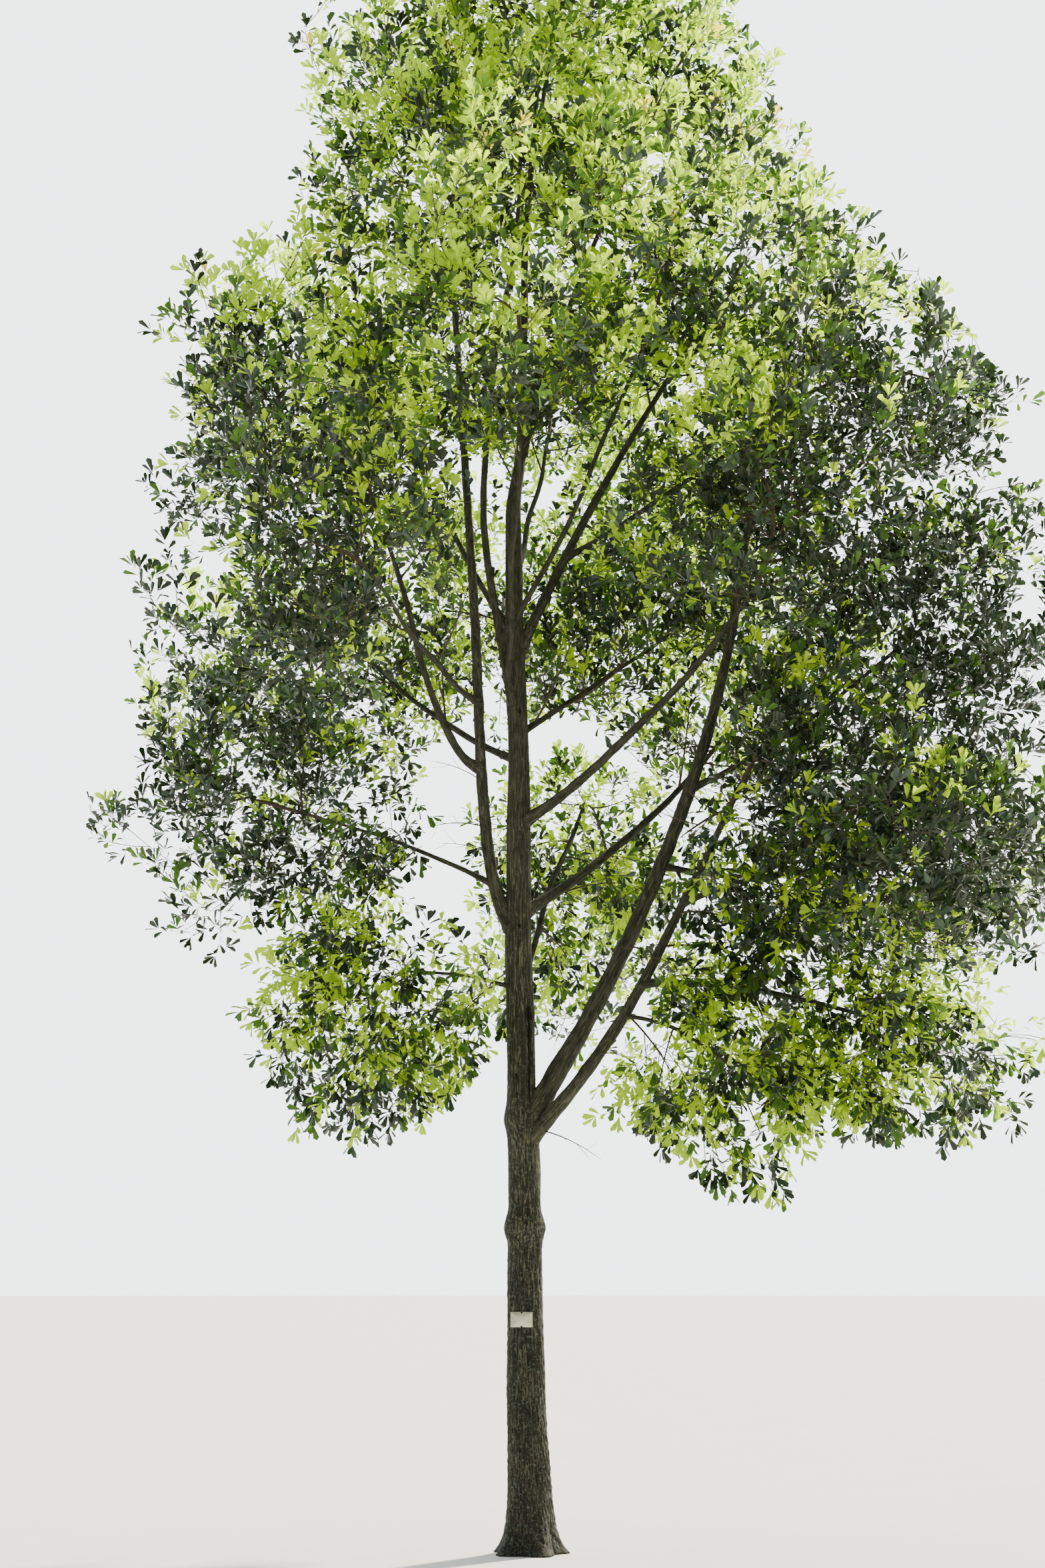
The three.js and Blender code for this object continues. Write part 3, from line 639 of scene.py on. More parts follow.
def bough_arrays(limb, index):
    """A bough's skin, from inside what carries it to its tip: radius (1 + lumps + rings - furrows)."""
    random = np.random.default_rng(BOUGH_SEED + index)
    t = np.linspace(0, 1, max(FEWEST_RINGS, int(limb.length / BOUGH_RING_STEP)))
    middle, heading = limb.point(t), limb.heading(t)
    if limb.row.parent == "trunk":
        axis, carrying = trunk_middle(middle[:, 2]), trunk_half(middle[:, 2])
    else:
        axis, carrying = limb.foot, LIMBS[limb.row.parent].radius(limb.row.at)
    inside = np.linalg.norm(middle - axis, axis=1) < SUNK_SHARE * carrying
    first = max(0, int(np.argmin(inside)) - 1)
    t, middle, heading = t[first:], middle[first:], heading[first:]
    along = ((t - t[0]) * limb.length)[:, None]
    turn = (np.arange(BOUGH_SIDES) * 2 * np.pi / BOUGH_SIDES)[None, :]
    smooth_radius = limb.radius(t)[:, None]
    age = np.clip((smooth_radius - YOUNG_RADIUS) / AGEING, 0, OLDEST_BOUGH)
    groove = furrows(turn, along, random, *BOUGH_FURROWS)
    lumps = wave_sum(turn, along, random, *BOUGH_LUMP_WAVES)
    rings = wave_sum(np.zeros_like(turn), along, random, *BOUGH_RING_WAVES)
    foot_swell = 1 + FOOT_SWELL * np.exp(-along / (FOOT_RADII * smooth_radius[0, 0]))
    relief = 1 + BOUGH_LUMPS * lumps + BOUGH_RINGS * rings - BOUGH_GROOVES * groove
    radius = smooth_radius * foot_swell * relief
    surface = limb_surface(middle, heading, np.broadcast_to(radius, (len(t), BOUGH_SIDES)), turn)
    points, triangles = closed_tube(surface, middle[0], middle[-1])
    radius = np.broadcast_to(radius, groove.shape)
    dark = bough_wound(surface) if limb.row.name in WOUNDED_BOUGHS else np.zeros_like(groove)
    return points, triangles[:, ::-1], bark_attributes(turn, radius, along, groove, age, dark)


def bough_wound(surface):
    """How dark the pruning wound is at each point: exp(-(distance / radius)^4)."""
    away = np.linalg.norm(surface - BOUGH_WOUND, axis=-1)
    return np.exp(-((away / BOUGH_WOUND_RADIUS) ** 4))


# Masses of foliage


class Mass:
    """One mass: its place, the stem that its bough hands over, and the space it keeps to."""

    def __init__(self, row, index):
        self.name = row.name
        self.middle = np.array(row.middle)
        self.across = row.across
        self.up = row.up
        self.reach = np.array((row.across, row.across, row.up))
        self.seed = MASS_SEED + MASS_SEED_STEP * index
        limb = LIMBS.get(row.name)
        foot = limb.point(1.0) if limb else trunk_middle(row.at)
        leaving = limb.heading(1.0) if limb else unit(self.middle - foot)
        self.on_tip = bool(limb) or row.at == TRUNK_HEIGHT
        self.heading = leaving if limb or row.at < TRUNK_HEIGHT else UP
        self.start = foot + self.heading * (CLEARANCE if self.on_tip else 0)
        self.girth = (row.girth[1] if limb else row.girth) / 2
        self.lift = DROOPING if self.middle[2] < DROOP_BELOW else RISING

    def meet(self, others):
        """Keeps the planes that bound this mass, each as a normal and a distance along it.

        There is one towards each other mass and one for each side of the CAD box, moved out a little.
        """
        spans = np.array([other.middle - self.middle for other in others])
        shares = np.array([self.across / (self.across + other.across) for other in others])
        normals = unit(spans)
        edges = np.einsum("ij,ij->i", normals, self.middle + spans * shares[:, None]) - MASS_GAP
        axes = np.eye(3)
        low, high = np.array(CAD_BOX[0]) - BOX_SLACK, np.array(CAD_BOX[1]) + BOX_SLACK
        self.normals = np.concatenate([normals, axes, -axes])
        self.edges = np.concatenate([edges, high, -low])

    def loosened(self, lift):
        """The mass for its bough's loose sprigs, which mingle with other masses within the CAD box."""
        loose = copy.copy(self)
        loose.normals, loose.edges = self.normals[-6:], self.edges[-6:]
        loose.lift = lift
        return loose

    def holds(self, points, limit, margin=0.0):
        """Whether points are within limit times the ellipsoid and short of every plane."""
        scaled = (points - self.middle) / self.reach
        near = np.linalg.norm(scaled, axis=-1) <= limit
        return near & (points @ self.normals.T < self.edges - margin).all(axis=-1)


def bounded_masses():
    """Every mass, with its bounds against the others."""
    masses = [Mass(row, index) for index, row in enumerate(BOUGHS + TOP_MASSES)]
    for mass in masses:
        mass.meet([other for other in masses if other is not mass])
    return masses


MASSES = bounded_masses()


# How many places on the trunk and on a bough stand for it, and how many stand for what shows bare
TRUNK_SAMPLES, BOUGH_SAMPLES = 200, 90
TRUNK_SIGHTS, BOUGH_SIGHTS = 160, 60


def limb_samples():
    """Points along every limb's middle line with the limb's radius there."""
    t = np.linspace(0, 1, BOUGH_SAMPLES)
    heights = np.linspace(0, TRUNK_HEIGHT, TRUNK_SAMPLES)
    points = [trunk_middle(heights)] + [limb.point(t) for limb in LIMBS.values()]
    radii = [trunk_half(heights)] + [limb.radius(t) for limb in LIMBS.values()]
    return np.concatenate(points), np.concatenate(radii)


LIMB_POINTS, LIMB_RADII = limb_samples()


def sights(points):
    """How far right, how high and how deep each point looks from the viewpoint: x / y, z / y and y."""
    ways = points - VIEWPOINT
    return np.stack([ways[:, 0] / ways[:, 1], ways[:, 2] / ways[:, 1], ways[:, 1]], -1)


def over_shoulder(points):
    """How far each point seems to stand past the right shoulder's slope, where its sight meets y = 0."""
    seen = sights(points)
    apparent = VIEWPOINT[[0, 2]] - seen[:, :2] * VIEWPOINT[1]
    return apparent @ SHOULDER_NORMAL - SHOULDER_EDGE


def bare_sights():
    """The sights of the bare trunk and boughs, and how wide each looks with its margin: (r + margin) / y."""
    heights = np.linspace(0, TRUNK_SEEN_TO, TRUNK_SIGHTS)
    points, radii = [trunk_middle(heights)], [trunk_half(heights)]
    for name, bare in BARE_TO_SEE.items():
        t = np.linspace(0, bare, BOUGH_SIGHTS)
        points.append(LIMBS[name].point(t))
        radii.append(LIMBS[name].radius(t))
    seen = sights(np.concatenate(points))
    return seen, (np.concatenate(radii) + SEEN_MARGIN) / seen[:, 2]


BARE_SIGHTS, BARE_WIDTHS = bare_sights()

# Limbs farther than this from a batch of points can't touch it, and sights farther than this can't
# hide behind it
NEAR_LIMB, NEAR_SIGHT = 0.2, 0.01


def clear_of_limbs(points, gap):
    """Whether each point keeps a gap to the trunk and boughs, and out of the sight of their bare parts."""
    keep = np.ones(len(points), bool)
    if not len(points):
        return keep
    low, high = points.min(axis=0) - NEAR_LIMB, points.max(axis=0) + NEAR_LIMB
    near = ((LIMB_POINTS > low) & (LIMB_POINTS < high)).all(axis=1)
    for limb_point, reach in zip(LIMB_POINTS[near], LIMB_RADII[near] + gap):
        keep &= ((points - limb_point) ** 2).sum(axis=1) > reach**2
    seen = sights(points)
    low, high = seen.min(axis=0) - NEAR_SIGHT, seen.max(axis=0) + NEAR_SIGHT
    near = ((BARE_SIGHTS > low) & (BARE_SIGHTS < high))[:, :2].all(axis=1)
    for sight, width in zip(BARE_SIGHTS[near], BARE_WIDTHS[near]):
        beside = (seen[:, 0] - sight[0]) ** 2 + (seen[:, 1] - sight[1]) ** 2
        keep &= (beside > width**2) | (seen[:, 2] > sight[2])
    return keep


def turned_out(heading, level, roll):
    """Ways square to each heading: side cos(roll) + other sin(roll), with the side square to level too."""
    side = unit(np.cross(heading, level))
    other = np.cross(heading, side)
    return side * np.cos(roll)[..., None] + other * np.sin(roll)[..., None]


def level_for(heading):
    """Up, or X for headings that are nearly upright."""
    return np.where(np.abs(heading[..., 2:]) > 0.9, ACROSS, UP)


class Twigs:
    """A batch of bowed twigs, tapering from foot to tip.

    Each is foot + span t + (heading |span| - span) follow t (1 - t).
    """

    def __init__(self, foot, tip, heading, thick, thin, follow):
        self.foot, self.tip, self.heading = foot, tip, heading
        self.thick, self.thin = thick, thin
        self.span = tip - foot
        reach = np.linalg.norm(self.span, axis=-1, keepdims=True)
        self.bend = (heading * reach - self.span) * follow / 4

    def point(self, t):
        """Points at shares t, one row of shares for each twig."""
        t = t[..., None]
        return self.foot[:, None] + self.span[:, None] * t + self.bend[:, None] * 4 * t * (1 - t)

    def along(self, t):
        """Which way the twigs run there."""
        return unit(self.span[:, None] + self.bend[:, None] * 4 * (1 - 2 * t[..., None]))

    def radius(self, t):
        """How thick the twigs are there."""
        return self.thick[:, None] + (self.thin - self.thick)[:, None] * t

    def kept(self, mask):
        """Those of the batch that the mask marks."""
        twigs = object.__new__(Twigs)
        for key, value in self.__dict__.items():
            setattr(twigs, key, value[mask])
        return twigs

    def joined(self, others):
        """This batch and another as one."""
        twigs = object.__new__(Twigs)
        for key, value in self.__dict__.items():
            setattr(twigs, key, np.concatenate([value, getattr(others, key)]))
        return twigs


def one_twig(foot, tip, heading, thick, thin, follow):
    """A batch of one twig."""
    return Twigs(foot[None], tip[None], heading[None], np.array([thick]), np.array([thin]), follow)


# A stem's radius at its foot as a share of its bough's, its radius at its tip, and how it follows its
# bough's heading: for stems that rise, and for thinner ones that hang below their bough's tip
RISING_STEM, HANGING_STEM = (1.0, 0.014, 1.0), (0.6, 0.007, 0.75)

# Places on a stem or main twig from which others may grow
PLACES = 8

# Where the tips of main twigs stand, as shares of the mass's reach: every fourth nearer in. A share
# shrinks by a step until the mass holds the tip, and below the least one there is no twig
NEAR_TIPS, FAR_TIPS, SHARE_STEP, LEAST_SHARE = (0.4, 0.6), (0.7, TIP_REACH), 0.05, 0.15

# A main twig's radius at its foot as a share of what carries it, at its tip as a share of that, its
# thinnest tip, how near to its foot its tip may be, and how it follows the way of what carries it
FORK_SHARE, TAPER_SHARE, THINNEST, SHORTEST, TWIG_FOLLOWS = 0.68, 0.3, 0.0028, 0.06, (0.35, 0.8)

# How far inside its mass's bounds a main twig or sprig ends, and its gap to trunk and boughs
INSIDE, TWIG_GAP = 0.05, 0.01


def main_twigs(mass, count, random):
    """The stem and the main twigs, each from the nearest unused place that leads towards its tip.

    Tips stand on a Fibonacci spiral over the mass: height 1 - 2(i + 1/2)/n and turn i times the
    golden angle. The nearest place has the least distance times 1 + (1 - cos of the turn there) / 2.
    """
    t = (np.arange(PLACES)[None] + 1) / PLACES
    share, thin, follow = HANGING_STEM if mass.middle[2] < mass.start[2] else RISING_STEM
    stem = one_twig(mass.start, mass.middle, mass.heading, share * mass.girth, thin, follow)
    points, headings, radii = stem.point(t)[0], stem.along(t)[0], stem.radius(t)[0]
    spiral = np.arange(count)
    height = 1 - 2 * (spiral + 0.5) / count
    angle = random.uniform(0, 2 * np.pi) + spiral * GOLDEN_ANGLE
    ring = np.sqrt(1 - height**2)
    ways = np.stack([ring * np.cos(angle), ring * np.sin(angle), height], -1)
    near, far = random.uniform(*NEAR_TIPS, count), random.uniform(*FAR_TIPS, count)
    tips = []
    for way, share in zip(ways, np.where(spiral % 4 == 2, near, far)):
        while share > LEAST_SHARE:
            tip = mass.middle + way * mass.reach * share
            if mass.holds(tip, TIP_REACH, INSIDE) and over_shoulder(tip[None])[0] < SHOULDER_TWIGS:
                tips.append(tip)
                break
            share -= SHARE_STEP
    tips.sort(key=lambda tip: np.linalg.norm(tip - mass.start))
    grown = stem
    for tip in tips:
        way = tip - points
        reach = np.linalg.norm(way, axis=1)
        turning = 1 - np.einsum("ij,ij->i", way, headings) / np.maximum(reach, 1e-3)
        cost = np.where(reach > SHORTEST, reach * (1 + 0.5 * turning), np.inf)
        best = int(np.argmin(cost))
        thick = radii[best] * FORK_SHARE
        thin = max(THINNEST, thick * TAPER_SHARE)
        twig = one_twig(points[best], tip, headings[best], thick, thin, random.uniform(*TWIG_FOLLOWS))
        route = twig.point(t)[0]
        if not clear_of_limbs(route[:-1], TWIG_GAP).all():
            continue
        grown = grown.joined(twig)
        points = np.concatenate([np.delete(points, best, 0), route[:-1]])
        headings = np.concatenate([np.delete(headings, best, 0), twig.along(t)[0][:-1]])
        radii = np.concatenate([np.delete(radii, best), twig.radius(t)[0][:-1]])
    return grown


# Kinds of side growth: the part of the parent that carries it, the angle in radians that it leaves at,
# its shortest and longest length, and its radius at its tip
Kind = namedtuple("Kind", "part spread lengths thin")
SIDE_TWIG = Kind((0.25, 1.0), 0.85, (0.26, 0.48), 0.0022)
SHOOT = Kind((0.3, 1.0), 0.8, (0.09, 0.2), 0.0013)
FORK = Kind((0.45, 0.8), 0.7, (0.12, 0.2), 0.0012)

# How far side growth follows the way that it leaves in. From where on it leads its parent on, and the
# share of its spread that it then has
FOLLOW, LEADING_ON, LEADING_SPREAD = 0.9, 0.97, 0.3

# The scatter of its place and its way, and of its spread as shares. Its length at its parent's foot and
# what it loses to the tip, as shares, and its radius as a share of its parent's and of its own tip's
PLACE_SCATTER, WAY_SCATTER, SPREAD_SCATTER = 0.04, 0.12, (0.75, 1.25)
LONGER, SHORTENING, SIDE_SHARE, LEAST_TAPER = 1.15, 0.4, 0.6, 1.2


def side_growth(parents, kind, count, lift, random):
    """Side twigs along each parent, turned on by the golden angle.

    Each sets out at heading cos(spread) + out sin(spread) and bows towards that plus its lift.
    """
    total = len(parents.foot)
    t = np.linspace(*kind.part, count) + random.uniform(-PLACE_SCATTER, PLACE_SCATTER, (total, count))
    t = np.clip(t, 0.05, 1)
    foot, heading = parents.point(t), parents.along(t)
    roll = random.uniform(0, 2 * np.pi, (total, 1)) + GOLDEN_ANGLE * np.arange(count)
    out = turned_out(heading, level_for(heading), roll)
    spread = kind.spread * random.uniform(*SPREAD_SCATTER, (total, count))
    spread = (spread * np.where(t > LEADING_ON, LEADING_SPREAD, 1))[..., None]
    leaving = unit(heading * np.cos(spread) + out * np.sin(spread))
    way = unit(leaving + UP * lift + random.normal(0, WAY_SCATTER, leaving.shape))
    size = random.uniform(*kind.lengths, (total, count, 1)) * (LONGER - SHORTENING * t[..., None])
    thick = np.maximum(parents.radius(t) * SIDE_SHARE, kind.thin * LEAST_TAPER)
    foot, tip, leaving = (rows.reshape(-1, 3) for rows in (foot, foot + way * size, leaving))
    return Twigs(foot, tip, leaving, thick.ravel(), np.full(total * count, kind.thin), FOLLOW)


# The share of a bough at which its last sprig stands, the fewest sprigs, and the scatter of their places
LAST_SPRIG, FEWEST_SPRIGS, SPRIG_SCATTER = 0.97, 3, 0.02

# How much of its bough's heading a sprig keeps, its radius as a share of the bough's, and the thickest
SPRIG_HEADING, SPRIG_SHARE, THICKEST_SPRIG = 0.6, 0.45, 0.009

# How far above its foot a drooping sprig may end, and the least that a rising one rises
DROOPING_BELOW, RISING_ABOVE = 0.15, 0.05


def bough_sprigs(mass, limb, random):
    """Side twigs from a bough beyond its bare share, evenly spaced, each turned on by the golden angle.

    None crosses the trunk, and loose ones keep below or above their bough.
    """
    sprigs = SPRIGS.get(mass.name, Sprigs())
    count = max(FEWEST_SPRIGS, round(limb.length * (LAST_SPRIG - sprigs.bare) / sprigs.spacing))
    t = np.linspace(sprigs.bare, LAST_SPRIG, count) + random.uniform(-SPRIG_SCATTER, SPRIG_SCATTER, count)
    foot, heading = limb.point(t), limb.heading(t)
    roll = random.uniform(0, 2 * np.pi) + GOLDEN_ANGLE * np.arange(count)
    leaving = unit(heading * SPRIG_HEADING + turned_out(heading, UP, roll))
    size = random.uniform(sprigs.shortest, sprigs.longest, (count, 1))
    tip = foot + unit(leaving + UP * mass.lift) * size
    thick = np.minimum(limb.radius(t) * SPRIG_SHARE, THICKEST_SPRIG)
    rows = Twigs(foot, tip, leaving, thick, np.full(count, THINNEST), FOLLOW)
    side_of_trunk = (tip - trunk_middle(tip[:, 2])) * (foot - trunk_middle(foot[:, 2]))
    keep = mass.holds(tip, SPRIG_REACH, INSIDE) & (side_of_trunk[:, :2].sum(axis=1) > 0)
    keep &= over_shoulder(tip) < SHOULDER_TWIGS
    if sprigs.loose == DROOPING:
        keep &= tip[:, 2] < foot[:, 2] + DROOPING_BELOW
    elif sprigs.loose == RISING:
        keep &= tip[:, 2] > foot[:, 2] + RISING_ABOVE
    return rows.kept(keep)


# Past the right shoulder each shoot ends within the fringe times the cube of a draw between these
FRINGE_DRAW = (-0.3, 1)


def thinned(twigs, mass, limits, gap, random, share):
    """Twigs whose tip and middle the mass's space holds, clear of the limbs; share is how many stay.

    Past the right shoulder's slope they thin out, and they end at its fringe.
    """
    half = twigs.point(np.full((len(twigs.foot), 1), 0.5))[:, 0]
    keep = mass.holds(twigs.tip, limits) & mass.holds(half, limits)
    keep &= clear_of_limbs(twigs.tip, gap) & (random.uniform(0, 1, len(keep)) < share)
    keep &= over_shoulder(twigs.tip) < SHOULDER_FRINGE * random.uniform(*FRINGE_DRAW, len(keep)) ** 3
    return twigs.kept(keep)


Leaves = namedtuple("Leaves", "base along face size shade")

# The leaves of a shoot, three along it and a rosette of four at its tip: where on the shoot, the angle
# in radians that each leaves at, and its size as a share of the full one
LEAF_PLACES, LEAF_SPREADS, LEAF_SIZES = np.array([
    (0.34, 1.0, 0.72),
    (0.56, 0.95, 0.86),
    (0.78, 0.85, 0.96),
    (0.97, 0.85, 1.0),
    (0.98, 0.65, 1.0),
    (0.99, 0.5, 0.92),
    (1.0, 0.2, 0.72),
]).T

# The numbers of the leaf colours, in the order of their materials, and the size of the newest leaves
NEWEST, SUNLIT, MIDDLING, DEEP_SHADE, SKY_SHEEN = range(5)
NEWEST_SIZE = 0.85

# The gap from a leaf's tip, a shoot and a side twig to the trunk and boughs, and the share of the side
# twigs and shoots that stay
LEAF_GAP, SHOOT_GAP, SIDE_GAP = 0.004, 0.012, 0.02
SIDES_KEPT, SHOOTS_KEPT = 0.92, 0.94

# The scatter of a leaf's place, turn, face, angle and size, and how much it bends to its spray's lift
LEAF_PLACE_SCATTER, TURN_SCATTER, FACE_SCATTER = 0.03, 0.25, 0.55
LEAF_ANGLE_SCATTER, LEAF_SIZE_SCATTER, LEAF_LIFT = (0.75, 1.3), (0.78, 1.15), 0.35


def leaves_on(shoots, mass, full_length, random):
    """Leaves of a batch of shoots, alternate along each and in a rosette at its tip.

    Each leaf sets out between the shoot's heading and the golden-angle side, and its face looks up,
    scattered. Its shade is the number of its shoot's colour.
    """
    total, count = len(shoots.foot), len(LEAF_PLACES)
    place = random.uniform(-LEAF_PLACE_SCATTER, LEAF_PLACE_SCATTER, (total, count))
    t = np.clip(LEAF_PLACES + place, 0, 1)
    base, heading = shoots.point(t), shoots.along(t)
    roll = random.uniform(0, 2 * np.pi, (total, 1)) + GOLDEN_ANGLE * np.arange(count)
    roll = roll + random.normal(0, TURN_SCATTER, roll.shape)
    out = turned_out(heading, level_for(heading), roll)
    angle = (LEAF_SPREADS * random.uniform(*LEAF_ANGLE_SCATTER, (total, count)))[..., None]
    along = unit(heading * np.cos(angle) + out * np.sin(angle) + UP * mass.lift * LEAF_LIFT)
    face = UP + random.normal(0, FACE_SCATTER, along.shape)
    face = unit(face - along * np.einsum("ijk,ijk->ij", face, along)[..., None])
    size = full_length * LEAF_SIZES * random.uniform(*LEAF_SIZE_SCATTER, (total, count))
    shade = np.repeat(shoot_shades(shoots, mass, random)[:, None], count, 1)
    tip = base + along * size[..., None]
    keep = (tip @ mass.normals.T < mass.edges).all(axis=-1)
    keep &= clear_of_limbs(tip.reshape(-1, 3), LEAF_GAP).reshape(total, count)
    size = np.where(shade == NEWEST, size * NEWEST_SIZE, size)
    return Leaves(base[keep], along[keep], face[keep], size[keep], shade[keep])


# How many waves make the sun's patches, and their shortest and longest length
PATCH_WAVES, PATCH_LENGTHS = 10, (0.45, 1.1)


def sun_patches(points):
    """Where whole sprays stand in sun, about 1, or shade, about -1: waves cos(2 pi p.d / length + phase)."""
    random = np.random.default_rng(PATCH_SEED)
    ways = unit(random.normal(0, 1, (PATCH_WAVES, 3))) * 2 * np.pi
    ways = ways / random.uniform(*PATCH_LENGTHS, (PATCH_WAVES, 1))
    waves = np.cos(points @ ways.T + random.uniform(0, 2 * np.pi, PATCH_WAVES))
    return waves.sum(axis=1) / math.sqrt(PATCH_WAVES / 2)


# The share of shoots that are sunlit, and what is added to it for a shoot high in its mass, far out in
# it, at the crown's back, in a sunny patch and in the low sprays
SUNLIT_SHARE, FOR_RISE, FOR_REACH, FOR_BACK, FOR_PATCH, FOR_LOW = 0.36, 0.22, 0.1, 0.16, 0.15, 0.17

# The reach in a mass at which nothing is added, and how far back from the trunk the crown's back begins
LEVEL_REACH, BACK_BEGINS = 0.6, 1.5

# What the height in the crown adds to it, from a height on, for each metre, and the least and most
FOR_HEIGHT, LEVEL_HEIGHT, HEIGHT_LIMITS = 0.06, 7, (-0.12, 0.2)

# The low sprays' height, over how much below it they turn low, and the share of the shadow they lose
LOW_BELOW, LOW_OVER, LOW_UNSHADED = 4.6, 1.2, 0.8

# Shadows at both sides of the crown: how deep for each metre, on which side, from where across, over
# how many metres, below which height, and over how many metres down they deepen
SHADOWS = ((0.3, 1, 0.9, 1.6, 9.4, 2.4), (0.28, -1, 0.5, 1, 8.4, 2))

# The draw's scatter, how far past the sunlit share it turns shoots to the painted deep shade, from where
# on some get a painted sheen of the sky, and the share of those
DRAW_SCATTER, DEEP_PAST, SKY_SHEEN_PAST, SKY_SHEEN_SHARE = 0.06, 0.28, 0.2, 0.3

# The share of shoots with the newest leaves, from what rise and reach in their mass on, and above what
# height of its middle
NEWEST_SHARE, NEWEST_RISE, NEWEST_REACH, NEWEST_ABOVE = 0.07, 0.5, 0.8, 7


def shoot_shades(shoots, mass, random):
    """The number of each shoot's leaf colour, dealt by how sunny its place is.

    Places are sunnier high in their mass and in the crown, towards the back, where the sun stands, and
    in the low sprays, and they are shaded at both sides of the crown; the leaf colours paint this sun and
    shade. A random draw under that share gets the painted sun, the next ones are middling, and the rest
    the painted deep shade or a painted sheen of the sky.
    """
    total = len(shoots.foot)
    rise = (shoots.tip[:, 2] - mass.middle[2]) / mass.up
    outward = np.linalg.norm((shoots.tip - mass.middle) / mass.reach, axis=1)
    sunny = SUNLIT_SHARE + FOR_RISE * rise + FOR_REACH * (outward - LEVEL_REACH)
    aside, depth, height = shoots.tip.T
    shaded = sum(
        deep * np.clip(side * aside - start, 0, span) * np.clip((below - height) / over, 0, 1)
        for deep, side, start, span, below, over in SHADOWS
    )
    low = np.clip((LOW_BELOW - height) / LOW_OVER, 0, 1)
    high = np.clip(FOR_HEIGHT * (height - LEVEL_HEIGHT), *HEIGHT_LIMITS)
    sunny += high - shaded * (1 - LOW_UNSHADED * low) + FOR_LOW * low
    sunny += FOR_BACK * np.clip(depth / BACK_BEGINS, 0, 1) + FOR_PATCH * sun_patches(shoots.tip)
    draw = random.uniform(0, 1, total) + random.normal(0, DRAW_SCATTER, total)
    shade = np.where(draw < sunny, SUNLIT, MIDDLING)
    shade = np.where(draw > sunny + DEEP_PAST, DEEP_SHADE, shade)
    shade = np.where((draw > sunny + SKY_SHEEN_PAST) & (random.uniform(0, 1, total) < SKY_SHEEN_SHARE), SKY_SHEEN, shade)
    newest = (rise > NEWEST_RISE) & (outward > NEWEST_REACH) & (random.uniform(0, 1, total) < NEWEST_SHARE)
    return np.where(newest & (mass.middle[2] > NEWEST_ABOVE), NEWEST, shade)


Growth = namedtuple("Growth", "stems sides shoots leaves")

# The share of its mass's lift that a side twig takes on, and how far shoots may reach as a share of how
# far side twigs may
SIDE_LIFT, SHOOTS_FARTHER = 0.6, 1.05


def finer_growth(parents, mass, side_count, shoot_count, reach, random):
    """The side twigs of a batch and their leafy shoots, within reach times the mass's ellipsoid."""
    sides = side_growth(parents, SIDE_TWIG, side_count, mass.lift * SIDE_LIFT, random)
    sides = thinned(sides, mass, reach, SIDE_GAP, random, SIDES_KEPT)
    shoots = side_growth(sides, SHOOT, shoot_count, mass.lift, random)
    return sides, thinned(shoots, mass, reach * SHOOTS_FARTHER, SHOOT_GAP, random, SHOOTS_KEPT)


@functools.lru_cache(maxsize=None)
def grown_in(index, main_count, side_count, shoot_count, leaf_length):
    """All that grows in one mass: stem, main twigs and sprigs, side twigs, shoots and leaves."""
    mass = MASSES[index]
    random = np.random.default_rng(mass.seed)
    stems = main_twigs(mass, main_count + EXTRA_TWIGS.get(mass.name, 0), random)
    share = OPENNESS.get(mass.name, 1.0)
    place = np.arange(len(stems.foot))
    twigs = stems.kept((place > 0) & (random.uniform(0, 1, len(place)) < share))
    sides, shoots = finer_growth(twigs, mass, side_count, shoot_count, TWIG_REACH, random)
    leaves = leaves_on(shoots, mass, leaf_length, random)
    if mass.name in LIMBS:
        lift = SPRIGS.get(mass.name, Sprigs()).loose
        room = mass.loosened(lift) if lift else mass
        sprigs = bough_sprigs(room, LIMBS[mass.name], random)
        more_sides, more_shoots = finer_growth(sprigs, room, side_count, shoot_count, SPRIG_REACH, random)
        more_leaves = leaves_on(more_shoots, room, leaf_length, random)
        stems, sides, shoots = stems.joined(sprigs), sides.joined(more_sides), shoots.joined(more_shoots)
        leaves = Leaves(*(np.concatenate(pair) for pair in zip(leaves, more_leaves)))
    return Growth(stems, sides, shoots, leaves)


def growth_of(index):
    """The growth of one mass with the counts that the panel shows."""
    leaf = bpy.context.scene.oak_leaf
    return grown_in(index, leaf.main_twigs, leaf.side_twigs, leaf.shoots, leaf.leaf_length)


# A bare twig's radius at its tip, how far it sets out upwards, its forks and how far they rise
BARE_TIP_RADIUS, BARE_LIFT, FORKS, FORK_LIFT = 0.0016, 0.3, 3, 0.1


def bare_twigs():
    """The small bare twigs, bowed down towards their tips, and the short forks past their middles."""
    rows = []
    for name, at, tip, thick in BARE_TWIGS:
        foot = trunk_middle(at) if name == "trunk" else LIMBS[name].point(at)
        way = np.array(tip) - foot
        heading = unit(way + UP * BARE_LIFT * np.linalg.norm(way))
        rows.append((foot, np.array(tip), heading, thick, BARE_TIP_RADIUS))
    foot, tip, heading, thick, thin = (np.array(column) for column in zip(*rows))
    twigs = Twigs(foot, tip, heading, thick, thin, FOLLOW)
    return twigs, side_growth(twigs, FORK, FORKS, FORK_LIFT, np.random.default_rng(BARE_SEED))


# Rings, and points round them, of stems and main twigs, side twigs and forks, shoots, and bare twigs
STEM_GRID, SIDE_GRID, SHOOT_GRID, BARE_GRID = (7, 6), (3, 4), (1, 3), (9, 5)


